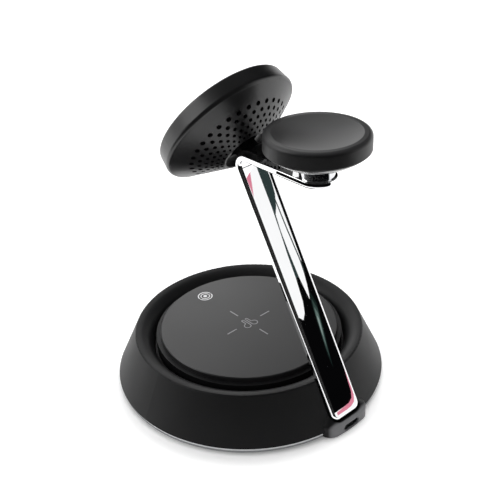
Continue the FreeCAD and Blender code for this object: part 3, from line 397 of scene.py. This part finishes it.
# %% Make the powder coat
COAT_PEEL_MM = 0.7
material, tree, shader = new_finish("Black powder coat on zinc", IOR=1.5, Specular_IOR_Level=0.25)
place = add(tree, "ShaderNodeTexCoord").outputs["Object"]
peel = add(tree, "ShaderNodeTexNoise", {"Vector": place, "Scale": per_metre(COAT_PEEL_MM), "Detail": 2.0})
colour = add(tree, "ShaderNodeMix", data_type="RGBA",
             inputs={FACTOR: peel.outputs["Fac"], FIRST: linear("0B0B0C"), SECOND: linear("121213")})
rough = add(tree, "ShaderNodeMapRange", {"Value": peel.outputs["Fac"], "To Min": 0.35, "To Max": 0.5})
bump = add(tree, "ShaderNodeBump", {"Height": peel.outputs["Fac"], "Strength": 0.3, "Distance": 0.05 * MM})
tree.links.new(colour.outputs[MIXED], shader.inputs["Base Color"])
tree.links.new(rough.outputs["Result"], shader.inputs["Roughness"])
tree.links.new(bump.outputs["Normal"], shader.inputs["Normal"])
dress(material, "hinge_bracket")

# %% [markdown]
# ## Metals inside
#
# Screws, ballast, pin and inlet shell are bright zinc-plated steel, and the hinge's own screws are
# blackened. The magnets are nickel-plated, the heat spreader is plain pressed aluminium and the fan's
# bearing is sintered bronze. All of them are metals with fine working marks, so one function makes them
# from a colour, a roughness and the size of the marks.

# %% Make the metals
def worked_metal(name, dark, light, rough_low, rough_high, mark_mm):
    material, tree, shader = new_finish(name, Metallic=1.0)
    place = add(tree, "ShaderNodeTexCoord").outputs["Object"]
    drawn = add(tree, "ShaderNodeMapping", {"Vector": place, "Scale": (0.15, 1.0, 1.0)})
    marks = add(tree, "ShaderNodeTexNoise", {"Vector": drawn.outputs["Vector"], "Scale": per_metre(mark_mm),
                                             "Detail": 4.0})
    colour = add(tree, "ShaderNodeMix", data_type="RGBA",
                 inputs={FACTOR: marks.outputs["Fac"], FIRST: linear(dark), SECOND: linear(light)})
    rough = add(tree, "ShaderNodeMapRange", {"Value": marks.outputs["Fac"], "To Min": rough_low,
                                             "To Max": rough_high})
    tree.links.new(colour.outputs[MIXED], shader.inputs["Base Color"])
    tree.links.new(rough.outputs["Result"], shader.inputs["Roughness"])
    return material


dress(worked_metal("Zinc-plated steel", "A9ABAE", "C9CBCE", 0.22, 0.38, 0.3),
      "ballast_plate", "base_screws", "board_screws", "arm_screws", "watch_screw", "hinge_pin",
      "hinge_washers", "usb_socket", "fan_shaft")
dress(worked_metal("Black-oxide steel", "1A1A1C", "2A2A2D", 0.35, 0.5, 0.3), "saddle_screws")
dress(worked_metal("Nickel-plated magnet", "B9B6AE", "CFCCC4", 0.15, 0.28, 0.5),
      "head_magnets", "watch_magnet")
dress(worked_metal("Pressed aluminium", "C4C6C9", "DADCDE", 0.28, 0.42, 0.3), "heat_spreader")
dress(worked_metal("Sintered bronze", "8E6A3A", "A98452", 0.4, 0.6, 0.15), "fan_bearing")

# %% [markdown]
# ## Wound copper
#
# Each coil is a flat spiral of enamelled copper strands. Turn beside turn, it looks like fine rings about
# the coil's middle. The Wave texture draws rings about its own origin, so a Mapping node first moves each
# coil's middle, and for the phone head its tilt, to that origin. Real strands are finer than a millimetre;
# the rings are drawn 2.6 mm apart, so that they show. At a scale of 1 the texture's waves are pi / 10
# units long, so a scale from a real size is multiplied by that.

# %% Make the coils' copper
WAVE_LENGTH = math.pi / 10.0
TURN_MM = 2.6


def wound_copper(name, middle, turn):
    material, tree, shader = new_finish(name, Metallic=1.0)
    place = add(tree, "ShaderNodeTexCoord").outputs["Object"]
    local = add(tree, "ShaderNodeMapping", {"Vector": place, "Location": middle,
                                            "Rotation": (turn, 0.0, 0.0)}, vector_type="TEXTURE")
    turns = add(tree, "ShaderNodeTexWave", {"Vector": local.outputs["Vector"],
                                            "Scale": per_metre(TURN_MM) * WAVE_LENGTH},
                wave_type="RINGS", rings_direction="Z", wave_profile="SIN")
    colour = add(tree, "ShaderNodeMix", data_type="RGBA",
                 inputs={FACTOR: turns.outputs["Fac"], FIRST: linear("5A2A17"), SECOND: linear("C47A4A")})
    rough = add(tree, "ShaderNodeMapRange", {"Value": turns.outputs["Fac"], "To Min": 0.5, "To Max": 0.25})
    bump = add(tree, "ShaderNodeBump", {"Height": turns.outputs["Fac"], "Strength": 0.6,
                                        "Distance": 0.3 * MM})
    tree.links.new(colour.outputs[MIXED], shader.inputs["Base Color"])
    tree.links.new(rough.outputs["Result"], shader.inputs["Roughness"])
    tree.links.new(bump.outputs["Normal"], shader.inputs["Normal"])
    return material


dress(wound_copper("Enamelled copper winding, pad", (0.0, 0.0, 0.0), 0.0), "pad_coil", "touch_electrode")
dress(wound_copper("Enamelled copper winding, head", face_place, face_turn), "head_coil")
dress(wound_copper("Enamelled copper winding, watch", watch_place, 0.0), "watch_coil")

# %% [markdown]
# ## Ferrite
#
# Behind each coil a sheet of sintered ferrite keeps the field in. It is a dark grey ceramic with a dry,
# speckled surface.

# %% Make the ferrite
SPECK_MM = 0.5
material, tree, shader = new_finish("Sintered ferrite", IOR=2.0)
place = add(tree, "ShaderNodeTexCoord").outputs["Object"]
speck = add(tree, "ShaderNodeTexVoronoi", {"Vector": place, "Scale": per_metre(SPECK_MM)})
colour = add(tree, "ShaderNodeMix", data_type="RGBA",
             inputs={FACTOR: speck.outputs["Color"], FIRST: linear("2B2B2E"), SECOND: linear("4A4A4E")})
rough = add(tree, "ShaderNodeMapRange", {"Value": speck.outputs["Distance"], "To Min": 0.5, "To Max": 0.7})
tree.links.new(colour.outputs[MIXED], shader.inputs["Base Color"])
tree.links.new(rough.outputs["Result"], shader.inputs["Roughness"])
dress(material, "pad_ferrite", "head_ferrite", "watch_ferrite")

# %% [markdown]
# ## Circuit boards
#
# A board is glass-fibre laminate under green solder mask, with copper tracks that show through as paler
# green lines. The mortar lines of a Brick texture are straight and meet at right angles, as tracks do.

# %% Make the boards
TRACK_MM = 2.4
material, tree, shader = new_finish("Green solder mask on laminate", IOR=1.55)
place = add(tree, "ShaderNodeTexCoord").outputs["Object"]
tracks = add(tree, "ShaderNodeTexBrick", {"Vector": place, "Scale": per_metre(TRACK_MM),
                                          "Color1": linear("0B4A26"), "Color2": linear("0E5A2E"),
                                          "Mortar": linear("3C8A55"), "Mortar Size": 0.05})
rough = add(tree, "ShaderNodeMapRange", {"Value": tracks.outputs["Fac"], "To Min": 0.3, "To Max": 0.4})
tree.links.new(tracks.outputs["Color"], shader.inputs["Base Color"])
tree.links.new(rough.outputs["Result"], shader.inputs["Roughness"])
dress(material, "main_board", "light_board", "head_board", "watch_board")

# %% [markdown]
# ## Diodes and cable
#
# A white diode is a cup of yellow phosphor under clear resin. The flat cable in the arm is a row of wires
# moulded side by side in black plastic, so it has fine ribs along its length.

# %% Make the diodes and the cable
PHOSPHOR_MM = 0.6
material, tree, shader = new_finish("Phosphor under clear resin", IOR=1.53, Coat_Weight=0.6)
place = add(tree, "ShaderNodeTexCoord").outputs["Object"]
cup = add(tree, "ShaderNodeTexNoise", {"Vector": place, "Scale": per_metre(PHOSPHOR_MM), "Detail": 1.0})
colour = add(tree, "ShaderNodeMix", data_type="RGBA",
             inputs={FACTOR: cup.outputs["Fac"], FIRST: linear("E8D46A"), SECOND: linear("F4EBC0")})
tree.links.new(colour.outputs[MIXED], shader.inputs["Base Color"])
dress(material, "leds")

RIB_MM = 1.6
material, tree, shader = new_finish("Ribbed black cable jacket", IOR=1.5, Roughness=0.45)
place = add(tree, "ShaderNodeTexCoord").outputs["Object"]
ribs = add(tree, "ShaderNodeTexWave", {"Vector": place, "Scale": per_metre(RIB_MM) * WAVE_LENGTH},
           wave_type="BANDS", bands_direction="X", wave_profile="SIN")
colour = add(tree, "ShaderNodeMix", data_type="RGBA",
             inputs={FACTOR: ribs.outputs["Fac"], FIRST: linear("0E0E0F"), SECOND: linear("202022")})
bump = add(tree, "ShaderNodeBump", {"Height": ribs.outputs["Fac"], "Strength": 0.5, "Distance": 0.2 * MM})
tree.links.new(colour.outputs[MIXED], shader.inputs["Base Color"])
tree.links.new(bump.outputs["Normal"], shader.inputs["Normal"])
dress(material, "arm_cable")

# %% [markdown]
# ## Marks printed on the pad
#
# The pad carries pale screen-printed marks: a ringed touch mark near the front, and four ticks round the
# outlines of two earbuds in the middle. Ink is a film a few hundredths of a millimetre thick. A pattern in
# the pad's material could draw it, but a thin mesh keeps crisp edges at any distance. Each mark is a flat
# outline, filled and thickened so that it starts inside the lacquer and ends just above it. The touch mark
# is printed white, the others grey.

# %% Make the printing inks
MESH_MM = 0.3


def screen_ink(name, dark, light):
    material, tree, shader = new_finish(name, IOR=1.48)
    place = add(tree, "ShaderNodeTexCoord").outputs["Object"]
    weave = add(tree, "ShaderNodeTexNoise", {"Vector": place, "Scale": per_metre(MESH_MM), "Detail": 2.0})
    colour = add(tree, "ShaderNodeMix", data_type="RGBA",
                 inputs={FACTOR: weave.outputs["Fac"], FIRST: linear(dark), SECOND: linear(light)})
    rough = add(tree, "ShaderNodeMapRange", {"Value": weave.outputs["Fac"], "To Min": 0.45, "To Max": 0.6})
    tree.links.new(colour.outputs[MIXED], shader.inputs["Base Color"])
    tree.links.new(rough.outputs["Result"], shader.inputs["Roughness"])
    return material


white_ink = screen_ink("White screen-printing ink", "E0E0E2", "F2F2F3")
grey_ink = screen_ink("Grey screen-printing ink", "8C8C8E", "A6A6A8")
print("inks mixed")

# %% Draw the marks
INK_LIFT = 0.02 * MM
INK_DEPTH = 0.06 * MM
TOUCH_Y = -30.5 * MM
TOUCH_RINGS_MM = ((3.25, 0.55), (2.05, 0.5))
TOUCH_SEAM_DEGREES = 4
TOUCH_DOT_MM = 0.95
TICK_START = 7.2 * MM
TICK_END = 12.6 * MM
TICK_WIDTH = 0.55 * MM


def arc_points(radius, start, end, count, centre=(0.0, 0.0)):
    """Points on a circle, from one angle to another in degrees."""
    angles = [math.radians(start + (end - start) * i / (count - 1)) for i in range(count)]
    return [(centre[0] + radius * math.cos(a), centre[1] + radius * math.sin(a)) for a in angles]


def stroke(points, width):
    """Outline of a line of constant width along a row of points."""
    left, right = [], []
    for i, point in enumerate(points):
        before = Vector(points[max(i - 1, 0)])
        after = Vector(points[min(i + 1, len(points) - 1)])
        way = (after - before).normalized() * width / 2
        left.append((point[0] - way.y, point[1] + way.x))
        right.append((point[0] + way.y, point[1] - way.x))
    return left + right[::-1]


def printed(name, outlines, ink):
    """One ink mark from flat outlines in the pad's plane."""
    grid = bmesh.new()
    low, high = pad_level + INK_LIFT - INK_DEPTH, pad_level + INK_LIFT
    for outline in outlines:
        corners = [grid.verts.new((x, y, low)) for x, y in outline]
        face = grid.faces.new(corners)
        lifted = bmesh.ops.extrude_face_region(grid, geom=[face])["geom"]
        moved = [item for item in lifted if isinstance(item, bmesh.types.BMVert)]
        bmesh.ops.translate(grid, verts=moved, vec=(0.0, 0.0, high - low))
    bmesh.ops.recalc_face_normals(grid, faces=grid.faces)
    mesh = bpy.data.meshes.new(name)
    grid.to_mesh(mesh)
    grid.free()
    mesh.materials.append(ink)
    piece = bpy.data.objects.new(name, mesh)
    bpy.context.collection.objects.link(piece)
    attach(piece, "stand")
    return piece


touch_centre = (0.0, TOUCH_Y)
touch_rings = []
for radius_mm, width_mm in TOUCH_RINGS_MM:
    for start in (TOUCH_SEAM_DEGREES, 180 + TOUCH_SEAM_DEGREES):
        half = arc_points(radius_mm * MM, start, start + 180 - 2 * TOUCH_SEAM_DEGREES, 24, touch_centre)
        touch_rings.append(stroke(half, width_mm * MM))
touch_dot = arc_points(TOUCH_DOT_MM * MM, 0, 345, 24, touch_centre)
printed("touch_mark", touch_rings + [touch_dot], white_ink)

ticks = []
for turn in range(4):
    way = Vector((math.cos(turn * math.pi / 2), math.sin(turn * math.pi / 2)))
    ticks.append(stroke([way * TICK_START, way * TICK_END], TICK_WIDTH))
printed("alignment_ticks", ticks, grey_ink)

BUD_LINE_MM = 0.42
bulb = arc_points(1.5, 180, -80, 20, (2.0, 1.6))
stem_end = arc_points(0.55, 0, -170, 8, (1.05, -2.6))
bud = [(0.5, -2.5), (0.5, 0.0)] + bulb + [(1.6, -0.2)] + stem_end
buds = []
for side in (1, -1):
    line = [(x * side * MM, y * MM) for x, y in bud]
    buds.append(stroke(line, BUD_LINE_MM * MM))
printed("earbud_mark", buds, grey_ink)
print("marks printed at", round(pad_level * 1000, 2), "mm above the table")

# %% [markdown]
# ## Camera
#
# The picture is taken from behind and above, from the side of the watch rest. The camera's place and its
# three axes fix the view completely, so they are set as a matrix instead of a chain of rotations. A lens
# of about 63 mm keeps the perspective gentle.

# %% Place the camera
LENS_MM = 62.64
SENSOR_MM = 36.0
camera_place = Vector((209.2, 243.2, 249.4)) * MM
camera_look = Vector((-0.5662, -0.64977, -0.50717)).normalized()
camera_right = camera_look.cross(Vector((-0.3668, -0.3542, 0.8605))).normalized()
camera_up = camera_right.cross(camera_look)
camera_data = bpy.data.cameras.new("camera")
camera_data.lens = LENS_MM
camera_data.sensor_width = SENSOR_MM
camera_data.sensor_fit = "HORIZONTAL"
camera_data.clip_start = 10 * MM
camera = bpy.data.objects.new("camera", camera_data)
turned = Matrix((camera_right, camera_up, -camera_look)).transposed()
camera.matrix_world = Matrix.Translation(camera_place) @ turned.to_4x4()
bpy.context.collection.objects.link(camera)
bpy.context.scene.camera = camera
print("camera", round((camera_place - Vector((0, 0, 0.06))).length, 3), "m from the middle of the stand")

# %% [markdown]
# ## Floor and background
#
# A product picture like this is taken on white paper. The floor is a large white disc that keeps the soft
# shadow. Wherever it is seen, by the camera or in a reflection, a little light of its own lifts it to
# white: less in a round patch under the stand, set a few millimetres towards the camera, so that the
# contact shadow stays, and more far away, where the lamps no longer reach. It is seen, but lights nothing.
# The world is white where it is seen, and dimmer as a source of light, so that the background is white
# without flooding the stand.

# %% Lay the floor
FLOOR_RADIUS = 3.0
FIBRE_MM = 1.0
SHADOW_CENTRE = (4.8 * MM, 2.5 * MM, 0.0)
SHADOW_INNER, SHADOW_OUTER = 56 * MM, 64 * MM
SHADOW_LIFT, FLOOR_LIFT = 0.13, 0.44
FAR_START, FAR_END, FAR_LIFT = 0.3, 1.2, 0.6


def seen(tree):
    """1 where the camera, a mirror or a glass looks, and 0 where light only falls."""
    ray = add(tree, "ShaderNodeLightPath").outputs
    mirrored_too = add(tree, "ShaderNodeMath", {0: ray["Is Camera Ray"], 1: ray["Is Glossy Ray"]},
                       operation="MAXIMUM")
    return add(tree, "ShaderNodeMath", {0: mirrored_too.outputs[0], 1: ray["Is Transmission Ray"]},
               operation="MAXIMUM").outputs[0]


material, tree, shader = new_finish("White sweep paper", Roughness=0.9,
                                    Emission_Color=(1.0, 1.0, 1.0, 1.0))
place = add(tree, "ShaderNodeTexCoord").outputs["Object"]
fibre = add(tree, "ShaderNodeTexNoise", {"Vector": place, "Scale": per_metre(FIBRE_MM), "Detail": 2.0})
colour = add(tree, "ShaderNodeMix", data_type="RGBA",
             inputs={FACTOR: fibre.outputs["Fac"], FIRST: linear("F3F3F3"), SECOND: linear("F8F8F8")})
away = add(tree, "ShaderNodeVectorMath", {0: place, 1: SHADOW_CENTRE}, operation="DISTANCE")
near = add(tree, "ShaderNodeMapRange", {"Value": away.outputs["Value"], "From Min": SHADOW_INNER,
                                        "From Max": SHADOW_OUTER, "To Min": SHADOW_LIFT,
                                        "To Max": FLOOR_LIFT}, interpolation_type="SMOOTHSTEP")
far = add(tree, "ShaderNodeMapRange", {"Value": away.outputs["Value"], "From Min": FAR_START,
                                       "From Max": FAR_END, "To Min": 0.0, "To Max": FAR_LIFT})
both = add(tree, "ShaderNodeMath", {0: near.outputs["Result"], 1: far.outputs["Result"]}, operation="ADD")
lift = add(tree, "ShaderNodeMath", {0: seen(tree), 1: both.outputs[0]}, operation="MULTIPLY")
tree.links.new(colour.outputs[MIXED], shader.inputs["Base Color"])
tree.links.new(lift.outputs[0], shader.inputs["Emission Strength"])
bpy.ops.mesh.primitive_circle_add(vertices=96, radius=FLOOR_RADIUS, fill_type="NGON")
floor = bpy.context.object
floor.name = "floor"
floor.data.materials.append(material)
print("floor", 2 * FLOOR_RADIUS, "m across")

# %% Light the world
WORLD_LIGHT = 0.45
world = bpy.data.worlds.new("white studio")
bpy.context.scene.world = world
world.use_nodes = True
tree = world.node_tree
back = tree.nodes["Background"]
level = add(tree, "ShaderNodeMapRange", {"Value": seen(tree), "To Min": WORLD_LIGHT, "To Max": 1.0})
back.inputs["Color"].default_value = (1.0, 1.0, 1.0, 1.0)
tree.links.new(level.outputs["Result"], back.inputs["Strength"])
print("the world lights the stand at", WORLD_LIGHT, "and is seen at 1")

# %% [markdown]
# ## Sheets that only reflections see
#
# Chrome and satin black show little but their surroundings. In an all-white room they would look flat, so
# a photographer hangs black cloth round the stand and sets narrow cards where the chrome mirrors them.
# The room could be modelled with its walls and lamps, but plain sheets are enough. They cast no shadow,
# the camera looks through them, and their colour is light of their own, so that no lamp changes it.

# %% Define the sheets
STRIP_POINTS = 40


def cloth(name, code):
    """A sheet's colour, as light of its own."""
    return new_finish(name, Base_Color=(0.0, 0.0, 0.0, 1.0), Roughness=1.0, Specular_IOR_Level=0.0,
                      Emission_Color=linear(code), Emission_Strength=1.0)[0]


def sheet(name, corners, faces, material):
    """A stage sheet that only reflections see."""
    mesh = bpy.data.meshes.new(name)
    mesh.from_pydata([tuple(corner) for corner in corners], [], faces)
    mesh.materials.append(material)
    piece = bpy.data.objects.new(name, mesh)
    bpy.context.collection.objects.link(piece)
    piece.visible_camera = False
    piece.visible_diffuse = False
    piece.visible_shadow = False
    piece.visible_transmission = False
    return piece


def curved(name, start, end, inner, outer, material):
    """A strip round the stand, between two rows of points given by radius and height."""
    rows = []
    for radius, height in (inner, outer):
        rows += [(x, y, height) for x, y in arc_points(radius, start, end, STRIP_POINTS)]
    panels = [(i, i + 1, i + 1 + STRIP_POINTS, i + STRIP_POINTS) for i in range(STRIP_POINTS - 1)]
    return sheet(name, rows, panels, material)


velvet = cloth("Black velvet", "060607")
print("black velvet for the sheets")

# %% [markdown]
# ## Black curtain
#
# The black of the arm is a dark curtain behind the camera. Cloth hangs in folds, and the crest of each
# fold catches a little light, so a sine of the angle round the stand brightens it every few degrees. A
# power narrows the crests. Plain velvet goes on beside it, higher up, and lies on the floor in front of
# the stand. A canopy closes the top. Angles are in degrees round the stand, heights in metres.

# %% Hang the curtain
CURTAIN_RADIUS = 1.3
CURTAIN_HEIGHT = 3.0
FOLD_DEGREES = 3.2
FOLD_LIGHT = 0.09
FOLD_POWER = 4.0
side_angle = math.degrees(math.atan2(camera_place.y, camera_place.x))
CURTAIN_START = side_angle - 75
CURTAIN_END = side_angle + 68
UPPER_END, UPPER_LOW = 140, 0.85
BEHIND_END, BEHIND_LOW = 214, 0.45
CARD_END, CARD_LOW, CARD_HIGH = 221, 0.30, 0.85
CLOTH_START, CLOTH_INNER, CLOTH_LEVEL = -40, 0.19, 0.001

folded = cloth("Black velvet in folds", "FFFFFF")
tree = folded.node_tree
place = add(tree, "ShaderNodeTexCoord").outputs["Object"]
flat = add(tree, "ShaderNodeSeparateXYZ", {0: place})
angle = add(tree, "ShaderNodeMath", {0: flat.outputs["Y"], 1: flat.outputs["X"]}, operation="ARCTAN2")
turns = add(tree, "ShaderNodeMath", {0: angle.outputs[0], 1: 360 / FOLD_DEGREES}, operation="MULTIPLY")
wave = add(tree, "ShaderNodeMath", {0: turns.outputs[0]}, operation="SINE")
crest = add(tree, "ShaderNodeMapRange", {"Value": wave.outputs[0], "From Min": -1.0, "From Max": 1.0})
narrow = add(tree, "ShaderNodeMath", {0: crest.outputs["Result"], 1: FOLD_POWER}, operation="POWER")
glow = add(tree, "ShaderNodeMath", {0: narrow.outputs[0], 1: FOLD_LIGHT}, operation="MULTIPLY")
tree.links.new(glow.outputs[0], tree.nodes["Principled BSDF"].inputs["Emission Strength"])

top = (CURTAIN_RADIUS, CURTAIN_HEIGHT)
curved("curtain", CURTAIN_START, CURTAIN_END, (CURTAIN_RADIUS, 0.0), top, folded)
curved("upper curtain", CURTAIN_END, UPPER_END, (CURTAIN_RADIUS, UPPER_LOW), top, velvet)
curved("far curtain", UPPER_END, BEHIND_END, (CURTAIN_RADIUS, BEHIND_LOW), top, velvet)
curved("floor cloth", CLOTH_START, CURTAIN_END, (CLOTH_INNER, CLOTH_LEVEL),
       (CURTAIN_RADIUS, CLOTH_LEVEL), velvet)
curved("low card", BEHIND_END, CARD_END, (CURTAIN_RADIUS, CARD_LOW), (CURTAIN_RADIUS, CARD_HIGH), velvet)
canopy = [(x, y, CURTAIN_HEIGHT) for x, y in arc_points(CURTAIN_RADIUS, 0, 350, 36)]
sheet("canopy", canopy, [list(range(len(canopy)))], velvet)
print("curtain from", round(CURTAIN_START), "to", round(CURTAIN_END), "degrees round the stand")

# %% [markdown]
# ## Flags
#
# The streaks in the chrome are mirrored cards, which photographers call flags: most are dark, some are
# tinted. Their places could be tried out by hand. It is easier to mirror the line of sight in the arm's
# face and to set each card where that line lands. So a flag is described by where it shows on the arm:
# along it from the foot, and across it, in millimetres. From other sides they show elsewhere on the
# chrome, or not at all. The pale streak fades at its edge, so it is four cards, each smaller, paler and
# a little nearer than the last.

# %% Define the flags
FLAG_DISTANCE = 1.2
STREAK_DISTANCE = 1.1
arm_lean = math.radians(28.19)
arm_foot = Vector((0.0, 59.79, 7.8)) * MM
arm_up = Vector((0.0, -math.sin(arm_lean), math.cos(arm_lean)))
arm_normal = Vector((0.0, math.cos(arm_lean), math.sin(arm_lean)))


def mirrored(along_mm, across_mm, distance):
    """Where a line of sight lands after the arm's face has mirrored it."""
    spot = arm_foot + arm_up * (along_mm * MM) + Vector((across_mm * MM, 0.0, 0.0))
    sight = (spot - camera_place).normalized()
    return spot + sight.reflect(arm_normal) * distance


def flag(name, outline, material, distance=FLAG_DISTANCE):
    """A card that shows on the arm with this outline."""
    corners = [mirrored(along, across, distance) for along, across in outline]
    return sheet(name, corners, [list(range(len(corners)))], material)


print("flags stand", FLAG_DISTANCE, "and", STREAK_DISTANCE, "m from the arm")

# %% Set the dark flags
grey_green = cloth("Grey-green cloth", "2E3A3A")
flag("low flag", [(2.3, 16), (44, 16), (45, 6.2), (43.2, 4.6), (45.5, 2.8), (50, 1.6), (55, 1.2),
                  (60, 0.8), (60, -0.9), (55, -1.4), (49.5, -2.1), (52, -2.8), (56, -3.5), (62, -4.2),
                  (66, -5), (66, -16), (12, -16), (12, -6.0), (6.5, -5.6), (3.8, -4.6), (2.6, -2.5),
                  (2.4, 0)], velvet)
flag("long flag", [(120, -0.2), (100, -0.25), (90, -0.3), (80, 0.05), (70, 0.6), (60, 0.8), (60, -0.9),
                   (70, -0.5), (80, -0.4), (87, -0.9), (90, -2.6), (95, -4.3), (100, -4.8), (120, -4.8)],
     grey_green)
flag("second flag", [(96, -2.9), (80, -3.4), (66, -4.2), (60, -4.0), (60, -4.7), (66, -4.8), (80, -4.0),
                     (96, -3.4)], grey_green)
flag("edge flag", [(120, -5.2), (66, -5.0), (66, -9), (120, -9)], velvet)
print("four dark flags set")

# %% Set the pale and the rose flags
STREAK_CODES = ("16211F", "33433F", "5E706B", "8B9C97")
STREAK_LARGEST, STREAK_SHRINK, STREAK_GAP = 1.25, 0.3, 0.01
streak = [(50, -3.1), (45, -2.2), (36, -1.6), (28, -1.1), (23, -1.4), (28, -2.0), (36, -3.2), (45, -4.3)]
middle = Vector((38.0, -2.4))
for step, code in enumerate(STREAK_CODES):
    size = STREAK_LARGEST - STREAK_SHRINK * step
    shrunk = [middle + (Vector(spot) - middle) * size for spot in streak]
    flag("pale streak %d" % step, shrunk, cloth("Pale grey-green card %d" % step, code),
         STREAK_DISTANCE - STREAK_GAP * step)
rose = cloth("Rose card", "DE869B")
flag("rose corner", [(124, 6.8), (124, 1.0), (109, 3.0), (97, 6.2)], rose, STREAK_DISTANCE)
flag("rose foot", [(0.7, 5.2), (0.6, 0), (0.8, -3), (1.8, -5.2), (4.5, -6.3), (10, -6.6), (17, -6.5),
                   (12, -6.0), (6.5, -5.6), (3.8, -4.6), (2.6, -2.5), (2.4, 0), (2.0, 5.2)], rose,
     STREAK_DISTANCE)
print("pale streak and two rose flags set")

# %% [markdown]
# ## Studio lamps
#
# Three soft boxes light the stand: one from the side of the phone head, one overhead, and a small one
# beyond the stand whose mirror image brightens the dish of the watch rest. Large lamps give the shadow
# its soft edge. The one overhead is hidden from reflections, because it would show as a pale patch on the
# phone head.

# %% Set the lamps
def soft_box(name, place, aim, size, power, mirrored_too=True):
    """An area lamp at a place, turned to its aim; sizes in metres and power in watts."""
    lamp = bpy.data.lights.new(name, "AREA")
    lamp.shape = "RECTANGLE"
    lamp.size, lamp.size_y = size
    lamp.energy = power
    holder = bpy.data.objects.new(name, lamp)
    holder.location = place
    holder.rotation_euler = (Vector(aim) - Vector(place)).to_track_quat("-Z", "Y").to_euler()
    holder.visible_glossy = mirrored_too
    bpy.context.collection.objects.link(holder)
    return holder


soft_box("left soft box", (0.9, -0.7, 0.9), (0, 0, 0.05), (0.9, 0.9), 5.0)
soft_box("top soft box", (-0.25, -0.3, 1.3), (0, 0, 0.0), (1.0, 1.0), 8.0, mirrored_too=False)
soft_box("far soft box", (-0.68, -1.05, 0.50), (0, 0.04, 0.126), (0.35, 0.42), 1.2)
print("three lamps set")

# %% [markdown]
# ## Colour management
#
# The Standard view shows colours as they were written.

# %% Finish
bpy.context.scene.view_settings.view_transform = "Standard"
